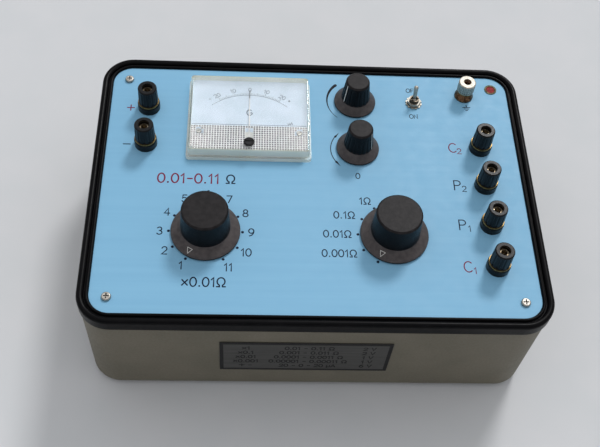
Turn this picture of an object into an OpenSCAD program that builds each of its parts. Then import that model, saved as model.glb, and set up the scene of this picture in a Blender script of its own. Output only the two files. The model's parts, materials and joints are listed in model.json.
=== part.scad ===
// Bench resistance box with a built-in null meter: a moulded tub, a beaded rim that carries a painted
// panel, two step dials, two trimmer knobs, a toggle switch and seven screw terminals with plug sockets.
// Origin: middle of the underside of the feet. X right, Y back, Z up, millimetres.

/* [Case] */
// Length of the tub, left to right
case_length = 278; // [270:1:300]
// Width of the tub, front to back
case_width = 198; // [192:1:220]
// Height of the tub from its underside to the seat of the rim
case_height = 75.4; // [70:0.2:95]
// Radius of the tub's upright corners
case_corner_r = 19; // [17:0.5:22]
// Thickness of the tub's walls
case_wall = 3; // [2.5:0.1:3.6]
// Thickness of the tub's floor
case_floor = 3; // [2.8:0.1:5]
// Radius of the tub's bottom edge
case_edge_r = 2.2; // [1:0.1:2.4]
// Radius of the corner pillars that take the panel screws
pillar_r = 5; // [4:0.1:5.4]
// Thickness of the webs that brace the pillars
web_thick = 2; // [1.5:0.1:3]

/* [Feet] */
// Height of the rubber feet
foot_height = 4; // [4:0.2:8]
// Radius of a foot where it meets the tub
foot_r = 9; // [8:0.2:12]
// Taper of a foot towards the ground
foot_taper = 0.8; // [0:0.1:1.5]
// Distance of a foot's axis from the tub's sides
foot_inset = 29; // [26:1:34]
// Depth of the recess that hides a foot's screw
foot_recess = 2.2; // [2:0.1:2.4]
// Height of the screw bosses on the tub's floor
foot_boss_height = 7; // [6:0.5:12]

/* [Rim] */
// How far the rim stands out over the tub
rim_overhang = 1; // [0.5:0.1:2]
// Width of the rim seen from above
rim_width = 7; // [6.6:0.1:9]
// Height from the rim's seat to the panel's top face
rim_height = 6.6; // [5.5:0.1:9]
// Radius of the round bead along the rim's outer edge
bead_r = 2.2; // [1.6:0.1:2.4]
// Radius of the small lip along the rim's inner edge
lip_r = 1; // [0.7:0.1:1.2]
// Height of the middle of that lip over the panel
lip_rise = 0.5; // [0.2:0.1:1]
// Width of the ledge under the panel
ledge_width = 4; // [2.5:0.1:4.2]
// Depth of the tongue inside the tub
tongue_depth = 5; // [3:0.5:8]
// Thickness of that tongue
tongue_thick = 2.4; // [1.6:0.1:3]

/* [Panel] */
// Thickness of the panel
panel_thick = 2; // [1.5:0.1:2.5]
// Distance of the corner screws from the rim's outer edge
screw_inset = 17.5; // [17:0.1:18.5]
// Radius of the screws' shanks
screw_r = 1.5; // [1.3:0.05:1.6]
// Radius of the screws' pan heads
screw_head_r = 2.85; // [2.6:0.05:3]
// Height of the screws' pan heads
screw_head_height = 1.7; // [1.5:0.1:2]
// Length of the screws under the head
screw_length = 12; // [8:1:20]
// Radius of the flange of the seal cup
seal_flange_r = 4.1; // [3.9:0.1:4.5]
// Depth of the seal cup below the panel's top face
seal_depth = 3.6; // [3.4:0.1:4.5]

/* [Data plate] */
// Length of the blank plate on the front
plate_length = 104; // [60:1:140]
// Height of that plate
plate_height = 38; // [20:1:50]
// Thickness of that plate
plate_thick = 0.6; // [0.4:0.1:0.9]
// Sideways place of that plate's middle
plate_x = -5.5; // [-30:0.5:30]
// Drop of that plate's middle below the panel's top face
plate_drop = 41.5; // [38:0.5:48]

/* [Meter] */
// Sideways place of the meter's middle
meter_x = -42.1; // [-46:0.1:-38]
// Distance of the meter's middle from the rim's back edge
meter_back = 51; // [49:0.1:53]
// Length of the cover's flange
meter_length = 80; // [76:0.5:84]
// Width of the cover's flange
meter_width = 64; // [60:0.5:66]
// Height of the clear cover
cover_height = 10; // [9.5:0.1:14]
// Thickness of the cover's flange
cover_flange = 3; // [2:0.1:4]
// How far the flange stands out round the cover
cover_step = 1.3; // [0.6:0.1:2]
// Thickness of the cover's walls
cover_wall = 1.2; // [1:0.1:2]
// Height of the dial's face over the panel
dial_rise = 5.8; // [5:0.1:6.2]
// Thickness of the dial
dial_thick = 0.6; // [0.4:0.1:1]
// Depth of the frosted apron, front to back
apron_depth = 19; // [15:0.5:22]
// Thickness of the apron
apron_thick = 0.8; // [0.5:0.1:1]
// Distance of the pointer's axis behind the flange's front edge
pivot_inset = 12; // [11.8:0.1:13]
// Length of the pointer from its axis
pointer_length = 41; // [30:0.5:42]
// Distance of the zero adjuster's axis behind the flange's front edge
adjuster_inset = 7.6; // [7:0.1:8]
// Radius of the zero adjuster's head
adjuster_r = 3.4; // [2.6:0.1:3.6]
// Radius of the meter's can behind the panel
can_r = 27; // [26.8:0.1:27.8]
// Depth of that can below the panel's top face
can_depth = 32; // [30:0.5:40]
// Thickness of the can's walls
can_wall = 1.5; // [1:0.1:2]
// Distance of the can's axis in front of the meter's middle
can_shift = 3.5; // [2.5:0.1:3.8]

/* [Step dials] */
// Sideways place of the decade dial
decade_x = -67.4; // [-72:0.1:-62]
// Sideways place of the ratio dial
ratio_x = 47.5; // [42:0.1:52]
// Distance of both step dials from the rim's front edge
dials_front = 63.3; // [60:0.1:66]
// Radius of a dial knob's skirt
dial_skirt_r = 21; // [19:0.1:22]
// Radius of a dial knob's grip at its foot
dial_grip_r = 15; // [13:0.1:16.5]
// Narrowing of the grip from foot to top
dial_grip_taper = 1; // [0.5:0.1:2]
// Height of a dial knob over the panel
dial_height = 24; // [21:0.5:30]
// Number of steps of the decade dial
decade_steps = 11; // [3:1:11]
// Number of steps of the ratio dial
ratio_steps = 5; // [2:1:11]
// Angle between two steps
step_angle = 30; // [28:1:30]
// Dial angle of the first step, clockwise from the back
first_step = -150; // [-160:1:-140]
// Radius of the contact circle
contact_circle = 14; // [12.5:0.1:14.4]
// Radius of a switch's front plate and deck
deck_r = 22; // [21.5:0.5:26]
// Distance between a switch's front plate and its deck
deck_drop = 14; // [12:0.5:20]
// Length of a wound resistor bobbin
bobbin_length = 14; // [8:0.5:20]

/* [Trimmers] */
// Sideways place of both trimmer knobs
trimmer_x = 28.2; // [26:0.1:31]
// Distance of the gain trimmer from the rim's back edge
gain_back = 32; // [29:0.1:34]
// Distance of the zero trimmer from the rim's back edge
zero_back = 71.2; // [67:0.1:74]
// Radius of a trimmer knob's skirt
trimmer_skirt_r = 13.8; // [12.6:0.1:15]
// Radius of a trimmer knob's grip at its foot
trimmer_grip_r = 9.4; // [9.1:0.1:10.5]
// Narrowing of the grip from foot to top
trimmer_grip_taper = 1.6; // [0.5:0.1:2]
// Height of a trimmer knob over the panel
trimmer_height = 21.5; // [18:0.5:26]
// Number of flutes round a trimmer knob
trimmer_flutes = 18; // [8:1:24]
// Radius of a trimmer's can
pot_r = 12; // [10:0.5:14]
// Depth of a trimmer's can
pot_depth = 12; // [9:0.5:16]

/* [Shafts and bushings] */
// Radius of the shafts that the knobs turn
shaft_r = 3; // [2.5:0.05:3.2]
// Radius of the threaded bushings
bushing_r = 5; // [4.6:0.1:5.2]
// Height of the bushings over the panel
bushing_rise = 5; // [4:0.1:5.4]
// Width across the flats of the bushing nuts
bushing_nut_flats = 14; // [12:0.1:14.4]
// Height of the bushing nuts
bushing_nut_height = 3; // [2:0.1:3.4]

/* [Toggle switch] */
// Sideways place of the toggle switch
toggle_x = 68.2; // [64:0.1:72]
// Distance of the toggle switch from the rim's back edge
toggle_back = 31.2; // [29:0.1:34]
// Lean of the lever from upright
toggle_lean = 12.5; // [8:0.5:14]
// Length of the lever from its ball
toggle_length = 12; // [9:0.5:16]
// Radius of the toggle's bushing
toggle_bushing_r = 3; // [2.9:0.1:3.4]
// Height of the lever's ball over the panel
toggle_pivot_rise = 2.8; // [2.4:0.1:3.4]
// Radius of the toggle's lock washer
toggle_washer_r = 5.5; // [5:0.1:6.5]

/* [Terminals] */
// Distance of the supply terminals from the rim's left edge
supply_left = 32.1; // [30:0.1:36]
// Distance of the measuring terminals from the rim's right edge
measure_right = 31.1; // [30:0.1:36]
// Distance of the rearmost supply terminal from the rim's back edge
supply_back = 40.7; // [39:0.1:43]
// Distance of the rearmost measuring terminal from the rim's back edge
measure_back = 68.1; // [66:0.1:70]
// Distance between neighbouring terminals
terminal_pitch = 30; // [26:0.1:31]
// Distance of the ground terminal from the rim's right edge
ground_right = 36.8; // [34:0.1:40]
// Distance of the ground terminal from the rim's back edge
ground_back = 23.4; // [22:0.1:25]
// Radius of a terminal's insulating base
base_r = 7.2; // [7:0.1:8.5]
// Height of that base
base_height = 5.6; // [4:0.1:8]
// Radius of a terminal cap at its foot
cap_r = 6.4; // [6.2:0.1:6.8]
// Narrowing of a cap from foot to top
cap_taper = 0.4; // [0:0.1:0.8]
// Height of a cap
cap_height = 12.9; // [10:0.1:16]
// Number of flutes round a cap
cap_flutes = 12; // [6:1:16]
// Radius of the threaded studs
stud_r = 3; // [2.8:0.05:3.2]
// Radius of the plug socket in a stud
socket_r = 2; // [1.6:0.05:2.1]
// Depth of the plug socket
socket_depth = 15; // [10:0.5:18]
// Radius of a cap's mouth round the socket
mouth_r = 3.4; // [3.3:0.1:4]
// Depth of that mouth
mouth_depth = 4; // [2:0.1:6]
// Thickness of the clamp rings
ring_thick = 0.8; // [0.5:0.1:1.2]
// Radius of the clamp rings
ring_r = 6.8; // [6.5:0.1:7]
// Radius of the ground terminal's flange
ground_flange_r = 6.3; // [5.6:0.1:7]
// Height of the ground terminal's waisted foot
ground_foot_height = 5.4; // [4:0.1:7]
// Radius of the ground terminal's knurled cap
ground_cap_r = 5.7; // [5.4:0.1:6.2]
// Height of that cap
ground_cap_height = 8; // [6:0.1:10]

/* [Inside] */
// Radius of a battery cell
cell_r = 7.1; // [6:0.1:8]
// Length of a battery cell
cell_length = 50; // [44:0.5:54]
// Number of battery cells side by side
cell_count = 4; // [1:1:4]
// Sideways place of the battery tray
tray_x = 40; // [20:1:50]
// Front-to-back place of the battery tray
tray_y = 20; // [0:1:30]
// Thickness of the amplifier board
board_thick = 1.6; // [1:0.1:2]

/* [Fits] */
// Clearance of a shaft in its bearing
run_fit = 0.05; // [0.03:0.01:0.08]
// Clearance between pieces that seat in one another
seat_fit = 0.1; // [0.08:0.01:0.2]
// Clearance round the panel and the rim's tongue
drop_fit = 0.2; // [0.15:0.01:0.3]
// Clearance between moving and still faces
air_gap = 0.3; // [0.2:0.05:0.4]

/* [Hidden] */
$fn = 64;

// Levels
rim_seat = foot_height + case_height;
panel_top = rim_seat + rim_height;
floor_top = foot_height + case_floor;

// Outlines
rim_length = case_length + 2 * rim_overhang;
rim_depth = case_width + 2 * rim_overhang;
rim_corner_r = case_corner_r + rim_overhang;
opening_r = rim_corner_r - rim_width;
panel_length = rim_length - 2 * (rim_width + drop_fit);
panel_depth = rim_depth - 2 * (rim_width + drop_fit);
screw_x = rim_length / 2 - screw_inset;
screw_y = rim_depth / 2 - screw_inset;
foot_x = case_length / 2 - foot_inset;
foot_y = case_width / 2 - foot_inset;
meter_y = rim_depth / 2 - meter_back;
dials_y = dials_front - rim_depth / 2;
gain_y = rim_depth / 2 - gain_back;
zero_y = rim_depth / 2 - zero_back;
toggle_y = rim_depth / 2 - toggle_back;
supply_x = supply_left - rim_length / 2;
supply_y = rim_depth / 2 - supply_back;
measure_x = rim_length / 2 - measure_right;
measure_y = rim_depth / 2 - measure_back;
ground_place = [rim_length / 2 - ground_right, rim_depth / 2 - ground_back];
corner_signs = [[-1, -1], [1, -1], [1, 1], [-1, 1]];
overlap = 1;

// Screws and the seal cup
recess_width = 0.7;
recess_reach = 3.4;
recess_depth = 0.9;
pilot_r = screw_r + seat_fit;
screw_hole_r = screw_r + drop_fit;
foot_boss_wall = 2.4;
foot_recess_room = 1;
seal_wall = 0.7;
seal_floor = 0.6;
seal_lip = 0.4;
seal_bore_r = screw_head_r + seat_fit;
seal_r = seal_bore_r + seal_wall;

// Meter
cover_corner_r = 2;
cover_top_in = cover_height - cover_wall;
block_length = meter_length - 2 * cover_step;
block_width = meter_width - 2 * cover_step;
room_length = block_length - 2 * cover_wall;
room_width = block_width - 2 * cover_wall;
dial_length = room_length - 2 * seat_fit;
dial_width = room_width - 2 * seat_fit;
pivot_y = meter_y - meter_width / 2 + pivot_inset;
adjuster_y = meter_y - meter_width / 2 + adjuster_inset;
can_y = meter_y - can_shift;
meter_base_thick = 2;
apron_front = meter_y - room_width / 2 + seat_fit;
pointer_thick = 0.5;
pointer_rise = dial_rise + air_gap;
pointer_width = 0.9;
hub_r = 2;
adjuster_neck_r = 1.8;
adjuster_dome = 1.2;
core_r = 5;
coil_wall = 1.2;
coil_width = 3;
yoke_in_r = core_r + coil_wall + 2 * air_gap;
yoke_wall = 2;
yoke_r = yoke_in_r + yoke_wall;
magnet_foot_r = yoke_wall / 2 - air_gap;
magnet_height = 12;
magnet_lift = 3;
magnet_base = -can_depth + can_wall + magnet_lift;
magnet_top = magnet_base + magnet_height;
coil_low = magnet_base - air_gap - coil_wall;
coil_high = magnet_top + air_gap;
spindle_r = 0.8;
bridge_thick = 1.2;
bridge_low = coil_high + coil_wall + air_gap;
stud_spread = 15;
meter_stud_r = 2;
meter_stud_length = 14;
board_gap = 3;
board_length = 60;
board_width = 40;
capacitor_r = 3.2;
capacitor_height = 6;
capacitor_step = 11;
capacitor_inset = 9;
chip_size = [10, 6.4, 3.4];
chip_step = 16;
chip_inset = 8.2;

// Step dial switches, measured from the panel's top face
front_plate_thick = 2;
front_plate_low = -panel_thick - front_plate_thick;
deck_top = front_plate_low - deck_drop;
deck_thick = 3;
contact_r = 1.8;
contact_rise = 1;
contact_tail = 5;
brush_low = deck_top + contact_rise + air_gap;
brush_thick = 1.4;
brush_width = 4;
brush_boss_r = 5;
brush_boss_height = 4;
pillar_gap = 1.3;
switch_pillar_r = 1.9;
switch_pillar_x = contact_circle + contact_r + pillar_gap + switch_pillar_r;
spindle_tail = 2;
bobbin_r = 3.4;
bobbin_circle = deck_r - bobbin_r - 2 * seat_fit;
bobbin_core_r = 2.6;
bobbin_flange = 1.2;

// Knobs
knob_lift = 0.8;
skirt_edge = 1.8;
skirt_rise = 5.2;
knob_chamfer = 1;
shaft_in_knob = 11;
nut_corner_r = bushing_nut_flats / sqrt(3);
knob_well_r = nut_corner_r + 2 * air_gap;
knob_well_top = bushing_nut_height + air_gap;
knob_neck_r = bushing_r + air_gap;
knob_neck_top = bushing_rise + air_gap;
flute_r = 1;
flute_bite = 0.4;

// Trimmer cans
pot_floor = 2;

// Toggle switch
toggle_bore_r = 2.2;
toggle_ball_r = toggle_bore_r - seat_fit;
toggle_pin_r = 0.5;
toggle_pin_reach = (toggle_bore_r + toggle_bushing_r) / 2;
toggle_bushing_rise = toggle_pivot_rise + toggle_bore_r;
toggle_foot_r = 1.15;
toggle_tip_r = 1.5;
toggle_tail = 3.6;
toggle_tail_r = 0.8;
toggle_washer_thick = 0.7;
toggle_nut_flats = 8;
toggle_nut_height = 2;
toggle_box = [8, 13, 10];
toggle_well = 3.4;
tag_size = [1, 2, 4];
toggle_tag_step = 4.5;

// Terminals
supply_places = [[supply_x, supply_y], [supply_x, supply_y - terminal_pitch]];
measure_places = [for (i = [0:3]) [measure_x, measure_y - i * terminal_pitch]];
post_places = concat(supply_places, measure_places);
base_round = 1.2;
spigot_wall = 1.4;
spigot_r = stud_r + spigot_wall;
spigot_hole_r = spigot_r + seat_fit;
stud_bore_r = stud_r + run_fit;
washer_r = 6;
washer_thick = 2;
lug_thick = 0.6;
lug_r = 5;
lug_tail = [12, 3];
terminal_nut_flats = 10;
terminal_nut_height = 3;
stud_tail = 4;
stud_low = -panel_thick - washer_thick - lug_thick - terminal_nut_height - stud_tail;
cap_low = base_height + ring_thick;
cap_chamfer = 0.6;
stud_in_mouth = 1.2;
stud_top = cap_low + cap_height - mouth_depth + stud_in_mouth;
ground_cap_low = ground_foot_height + ring_thick;
ground_mouth_room = 0.6;
ground_mouth_r = socket_r + ground_mouth_room;
ground_lid = 1.6;
ground_stud_top = ground_cap_low + ground_cap_height - ground_lid - air_gap;
ground_socket_depth = socket_depth - cap_height + ground_cap_height;
ground_waist_r = 4.2;
ground_edge = 1;
knurl_count = 24;
knurl_r = 0.5;
knurl_bite = 0.3;

// Battery tray
tray_wall = 2;
cell_pitch = 2 * cell_r + seat_fit;
tray_room = [cell_length + 2 * drop_fit, cell_count * cell_pitch + 2 * drop_fit];
tray_lip = 1.4;
tray_height = tray_wall + cell_r + tray_lip;
cell_tip_r = 2.7;
cell_tip = 1;

// Step from the panel's middle to a point at a dial angle, clockwise from the back
function dial_point(radius, angle) = [radius * sin(angle), radius * cos(angle)];

// Dial angle of a step
function step_at(i) = first_step + i * step_angle;

// Moves its children to a place on the panel's top face
module on_panel(place, rise = 0) {
  translate([place[0], place[1], panel_top + rise]) children();
}

// Round-cornered plate standing on z = 0
module round_plate(length, width, height, corner_r) {
  linear_extrude(height) {
    square([length - 2 * corner_r, width], center = true);
    square([length, width - 2 * corner_r], center = true);
    for (s = corner_signs)
      translate([s[0] * (length / 2 - corner_r), s[1] * (width / 2 - corner_r)]) circle(corner_r);
  }
}

// Sweeps a flat section round a round-cornered outline: the section's x runs inwards, its y runs up
module swept_frame(length, width, corner_r) {
  for (side = [0:3]) {
    along = side % 2 == 0 ? length : width;
    across = side % 2 == 0 ? width : length;
    rotate(90 * side) {
      translate([0, -across / 2, 0])
        rotate([90, 0, 90])
          linear_extrude(along - 2 * corner_r, center = true) children();
      translate([along / 2 - corner_r, corner_r - across / 2, 0])
        rotate(-90)
          rotate_extrude(angle = 90)
            translate([corner_r, 0]) mirror([1, 0]) children();
    }
  }
}

// Tube standing on z = 0
module tube(outer_r, inner_r, height) {
  difference() {
    cylinder(r = outer_r, h = height);
    translate([0, 0, -overlap]) cylinder(r = inner_r, h = height + 2 * overlap);
  }
}

// Hexagon nut standing on z = 0
module hex_nut(flats, hole_r, height) {
  difference() {
    cylinder(r = flats / sqrt(3), h = height, $fn = 6);
    translate([0, 0, -overlap]) cylinder(r = hole_r, h = height + 2 * overlap);
  }
}

// Pan-head screw with a cross recess, seated on z = 0 with its shank down
module pan_screw(length) {
  crown = screw_head_height / 2;
  difference() {
    union() {
      translate([0, 0, -length]) cylinder(r = screw_r, h = length + crown);
      rotate_extrude()
        difference() {
          union() {
            square([screw_head_r, crown]);
            translate([0, crown]) square([screw_head_r - crown, crown]);
            translate([screw_head_r - crown, crown]) circle(crown);
          }
          translate([-screw_head_r, -overlap]) square([screw_head_r, screw_head_height + 2 * overlap]);
        }
    }
    for (turn = [0, 90])
      rotate(turn)
        translate([-recess_reach / 2, -recess_width / 2, screw_head_height - recess_depth])
          cube([recess_reach, recess_width, recess_depth + overlap]);
  }
}

// Threaded bushing with a running bore, from a level below the panel up to its end over the panel
module bushing(low) {
  translate([0, 0, low]) tube(bushing_r, shaft_r + run_fit, bushing_rise - low);
}

// Grip flutes: cutters round an axis that lean inwards with the grip's taper
module flute_cutters(count, radius, cutter_r, bite, low, height, lean = 0) {
  for (i = [0:count - 1])
    rotate(360 * i / count)
      translate([radius + cutter_r - bite, 0, low])
        rotate([0, -lean, 0]) cylinder(r = cutter_r, h = height, $fn = 24);
}

// Skirted knob over a bushing nut, with a stepped well below and a blind bore for its shaft
module skirted_knob(skirt_r, grip_r, taper, height) {
  bore_top = bushing_rise + shaft_in_knob + air_gap;
  rotate_extrude()
    polygon([
      [knob_well_r, knob_lift],
      [skirt_r, knob_lift],
      [skirt_r, knob_lift + skirt_edge / 2],
      [skirt_r - skirt_edge / 2, knob_lift + skirt_edge],
      [grip_r + skirt_edge / 2, skirt_rise],
      [grip_r, skirt_rise + skirt_edge / 2],
      [grip_r - taper, height - knob_chamfer],
      [grip_r - taper - knob_chamfer, height],
      [0, height],
      [0, bore_top],
      [shaft_r + run_fit, bore_top],
      [shaft_r + run_fit, knob_neck_top],
      [knob_neck_r, knob_neck_top],
      [knob_neck_r, knob_well_top],
      [knob_well_r, knob_well_top]
    ]);
}

// Lower shell and its frame

module lower_case() {
  color("#b9b1a2")
    difference() {
      union() {
        translate([0, 0, foot_height])
          swept_frame(case_length, case_width, case_corner_r) case_wall_section();
        translate([0, 0, foot_height])
          round_plate(case_length - 2 * case_edge_r, case_width - 2 * case_edge_r, case_floor,
                      case_corner_r - case_edge_r);
        for (s = corner_signs) {
          corner_pillar(s);
          translate([s[0] * foot_x, s[1] * foot_y, foot_height])
            cylinder(r = pilot_r + foot_boss_wall, h = case_floor + foot_boss_height);
        }
      }
      for (s = corner_signs) {
        translate([s[0] * screw_x, s[1] * screw_y, panel_top - seal_depth - screw_length])
          cylinder(r = pilot_r, h = seal_depth + screw_length);
        translate([s[0] * foot_x, s[1] * foot_y, foot_height - overlap])
          cylinder(r = pilot_r, h = case_floor + foot_boss_height - overlap);
      }
      translate([screw_x, screw_y, panel_top - seal_depth]) cylinder(r = 2 * pillar_r, h = seal_depth);
    }
}

// Section of the tub's wall with its rounded bottom edge
module case_wall_section() {
  difference() {
    square([case_wall, case_height]);
    difference() {
      square(case_edge_r);
      translate([case_edge_r, case_edge_r]) circle(case_edge_r);
    }
  }
}

// Corner pillar with two webs to the walls
module corner_pillar(s) {
  web_top = rim_seat - tongue_depth - overlap;
  wall_gap_x = case_length / 2 - case_wall / 2 - screw_x;
  wall_gap_y = case_width / 2 - case_wall / 2 - screw_y;
  translate([s[0] * screw_x, s[1] * screw_y, foot_height + case_floor / 2]) {
    cylinder(r = pillar_r, h = panel_top - panel_thick - foot_height - case_floor / 2);
    for (x_ward = [true, false]) {
      reach = x_ward ? [s[0] * wall_gap_x, 0] : [0, s[1] * wall_gap_y];
      size = x_ward ? [wall_gap_x, web_thick] : [web_thick, wall_gap_y];
      translate([reach[0] / 2, reach[1] / 2, (web_top - foot_height - case_floor / 2) / 2])
        cube([size[0], size[1], web_top - foot_height - case_floor / 2], center = true);
    }
  }
}

module rim_frame() {
  color("#1b1a1c")
    translate([0, 0, rim_seat])
      swept_frame(rim_length, rim_depth, rim_corner_r) rim_section();
}

// Section of the rim: outer bead, groove, inner lip, panel ledge and the tongue inside the tub
module rim_section() {
  tongue_in = rim_overhang + case_wall + drop_fit;
  square([rim_width + ledge_width, rim_height - panel_thick]);
  square([rim_width, rim_height]);
  translate([bead_r, rim_height]) circle(bead_r);
  translate([rim_width - lip_r, rim_height + lip_rise]) circle(lip_r);
  translate([rim_width - 2 * lip_r, rim_height - lip_rise]) square([2 * lip_r, 2 * lip_rise]);
  translate([tongue_in, -tongue_depth]) square([tongue_thick, tongue_depth + overlap]);
}

module front_panel() {
  color("#85bcdb")
    difference() {
      translate([0, 0, panel_top - panel_thick])
        round_plate(panel_length, panel_depth, panel_thick, opening_r - drop_fit);
      for (s = corner_signs)
        panel_hole([s[0] * screw_x, s[1] * screw_y], screw_hole_r);
      panel_hole([screw_x, screw_y], seal_r + seat_fit);
      panel_hole([meter_x, can_y], can_r + drop_fit);
      for (x = [decade_x, ratio_x])
        panel_hole([x, dials_y], bushing_r + seat_fit);
      for (y = [gain_y, zero_y])
        panel_hole([trimmer_x, y], bushing_r + seat_fit);
      panel_hole([toggle_x, toggle_y], toggle_bushing_r + seat_fit);
      for (place = post_places)
        panel_hole(place, spigot_hole_r);
      panel_hole(ground_place, stud_r + seat_fit);
    }
}

module panel_hole(place, radius) {
  on_panel(place, -panel_thick - overlap) cylinder(r = radius, h = panel_thick + 2 * overlap);
}

module panel_screws() {
  color("#c9c6bf")
    for (s = corner_signs) {
      sealed = s[0] > 0 && s[1] > 0;
      seat = sealed ? seal_floor - seal_depth : 0;
      on_panel([s[0] * screw_x, s[1] * screw_y], seat) pan_screw(screw_length);
    }
}

module seal_cup() {
  color("#8f8a80")
    on_panel([screw_x, screw_y])
      difference() {
        union() {
          translate([0, 0, -seal_depth]) cylinder(r = seal_r, h = seal_depth);
          cylinder(r = seal_flange_r, h = seal_lip);
        }
        translate([0, 0, seal_floor - seal_depth]) cylinder(r = seal_bore_r, h = seal_depth + seal_lip);
        translate([0, 0, -seal_depth - overlap]) cylinder(r = screw_hole_r, h = seal_depth);
      }
}

// Wax plug poured over the sealed screw's head, with a slightly sunken top
module seal_wax() {
  wax_low = seal_floor - seal_depth + screw_head_height;
  color("#9c2b22")
    on_panel([screw_x, screw_y])
      rotate_extrude()
        polygon([
          [0, wax_low],
          [seal_bore_r - seat_fit, wax_low],
          [seal_bore_r - seat_fit, seal_lip / 2],
          [seal_bore_r / 2, 0],
          [0, -seal_lip / 2]
        ]);
}

module data_plate() {
  color("#a9a8a3")
    translate([plate_x, -case_width / 2, panel_top - plate_drop])
      rotate([90, 0, 0]) round_plate(plate_length, plate_height, plate_thick, 2 * plate_thick);
}

module rubber_feet() {
  color("#202022")
    for (s = corner_signs)
      translate([s[0] * foot_x, s[1] * foot_y, 0])
        difference() {
          cylinder(r1 = foot_r - foot_taper, r2 = foot_r, h = foot_height);
          translate([0, 0, -overlap])
            cylinder(r = screw_head_r + foot_recess_room, h = foot_recess + overlap);
          cylinder(r = screw_hole_r, h = foot_height + overlap);
        }
}

module foot_screws() {
  color("#a8a6a0")
    for (s = corner_signs)
      translate([s[0] * foot_x, s[1] * foot_y, foot_recess])
        rotate([180, 0, 0]) pan_screw(foot_height - foot_recess + case_floor + foot_boss_height / 2);
}

// Meter

// White tray whose edge carries the dial, with the round can behind the panel
module meter_body() {
  ledge = 1.2;
  color("#d9d8d2")
    difference() {
      union() {
        on_panel([meter_x, can_y], -can_depth) cylinder(r = can_r, h = can_depth);
        on_panel([meter_x, meter_y])
          round_plate(dial_length, dial_width, dial_rise - dial_thick, cover_corner_r);
      }
      on_panel([meter_x, meter_y], meter_base_thick)
        round_plate(dial_length - 2 * ledge, dial_width - 2 * ledge, dial_rise, cover_corner_r - ledge);
      on_panel([meter_x, can_y], can_wall - can_depth)
        cylinder(r = can_r - can_wall, h = can_depth - can_wall);
      on_panel([meter_x, can_y], -overlap)
        cylinder(r = can_r - 2 * can_wall, h = meter_base_thick + 2 * overlap);
      for (side = [-1, 1])
        on_panel([meter_x + side * stud_spread, can_y], -can_depth - overlap)
          cylinder(r = meter_stud_r + seat_fit, h = can_wall + 2 * overlap);
    }
}

// Clear cover: a flange, a box with a hollow room below and the hole for the zero adjuster
module meter_cover() {
  color("#e8f1f4", 0.4)
    difference() {
      on_panel([meter_x, meter_y]) {
        round_plate(meter_length, meter_width, cover_flange, cover_corner_r);
        round_plate(block_length, block_width, cover_height, cover_corner_r);
      }
      on_panel([meter_x, meter_y], -overlap)
        round_plate(room_length, room_width, cover_top_in + overlap, cover_corner_r);
      on_panel([meter_x, adjuster_y], cover_top_in - overlap)
        cylinder(r = adjuster_neck_r + run_fit, h = cover_wall + 2 * overlap);
    }
}

// Scale plate with a notch at the front for the pointer's hub
module meter_dial() {
  notch_r = 3 * hub_r;
  color("#f2f5f6")
    difference() {
      on_panel([meter_x, meter_y], dial_rise - dial_thick)
        round_plate(dial_length, dial_width, dial_thick, cover_corner_r);
      on_panel([meter_x, pivot_y], dial_rise - dial_thick - overlap)
        cylinder(r = notch_r, h = dial_thick + 2 * overlap);
      on_panel([meter_x, pivot_y - room_width / 2], dial_rise)
        cube([2 * notch_r, room_width, 4 * dial_thick], center = true);
    }
}

// Frosted strip behind the front part of the cover
module meter_apron() {
  color("#dfe3e4")
    difference() {
      on_panel([meter_x, apron_front + apron_depth / 2], cover_top_in - apron_thick)
        round_plate(dial_length, apron_depth, apron_thick, cover_corner_r);
      on_panel([meter_x, adjuster_y], cover_top_in - apron_thick - overlap)
        cylinder(r = adjuster_neck_r + 2 * air_gap, h = apron_thick + 2 * overlap);
    }
}

// Core magnet held inside its iron ring by two side arms, on three feet
module meter_magnet() {
  arm_height = 4;
  color("#57585c")
    on_panel([meter_x, pivot_y]) {
      translate([0, 0, magnet_base]) {
        tube(yoke_r, yoke_in_r, magnet_height);
        difference() {
          cylinder(r = core_r, h = magnet_height);
          translate([0, 0, -overlap]) cylinder(r = spindle_r + air_gap, h = magnet_height + 2 * overlap);
        }
        for (side = [0, 180])
          rotate(side)
            translate([-coil_width / 2, core_r - overlap, magnet_height / 2 - arm_height / 2])
              cube([coil_width, yoke_in_r - core_r + 2 * overlap, arm_height]);
      }
      for (turn = [90, 210, 330])
        rotate(turn)
          translate([yoke_in_r + yoke_wall / 2, 0, magnet_base - magnet_lift])
            cylinder(r = magnet_foot_r, h = magnet_lift + overlap);
    }
}

// Upper bearing arm, standing on the front of the iron ring
module meter_bridge() {
  arm_width = 3;
  arm_reach = yoke_in_r + yoke_wall / 2;
  color("#b89a52")
    on_panel([meter_x, pivot_y])
      difference() {
        union() {
          translate([0, -arm_reach, magnet_top])
            cylinder(r = yoke_wall / 2, h = bridge_low - magnet_top + overlap);
          translate([-arm_width / 2, -arm_reach, bridge_low]) cube([arm_width, arm_reach, bridge_thick]);
          translate([0, 0, bridge_low]) cylinder(r = hub_r, h = bridge_thick);
        }
        translate([0, 0, bridge_low - overlap])
          cylinder(r = spindle_r + run_fit, h = bridge_thick + 2 * overlap);
      }
}

// Moving coil: an upright loop round the core, with its spindle up to the pointer
module meter_coil() {
  loop_r = core_r + air_gap + coil_wall;
  color("#a5562b")
    on_panel([meter_x, pivot_y]) {
      translate([0, 0, coil_low])
        cylinder(r = spindle_r, h = pointer_rise + pointer_thick - coil_low);
      difference() {
        translate([-loop_r, -coil_width / 2, coil_low])
          cube([2 * loop_r, coil_width, coil_high + coil_wall - coil_low]);
        translate([coil_wall - loop_r, -coil_width, coil_low + coil_wall])
          cube([2 * (loop_r - coil_wall), 2 * coil_width, coil_high - coil_low - coil_wall]);
      }
    }
}

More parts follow.
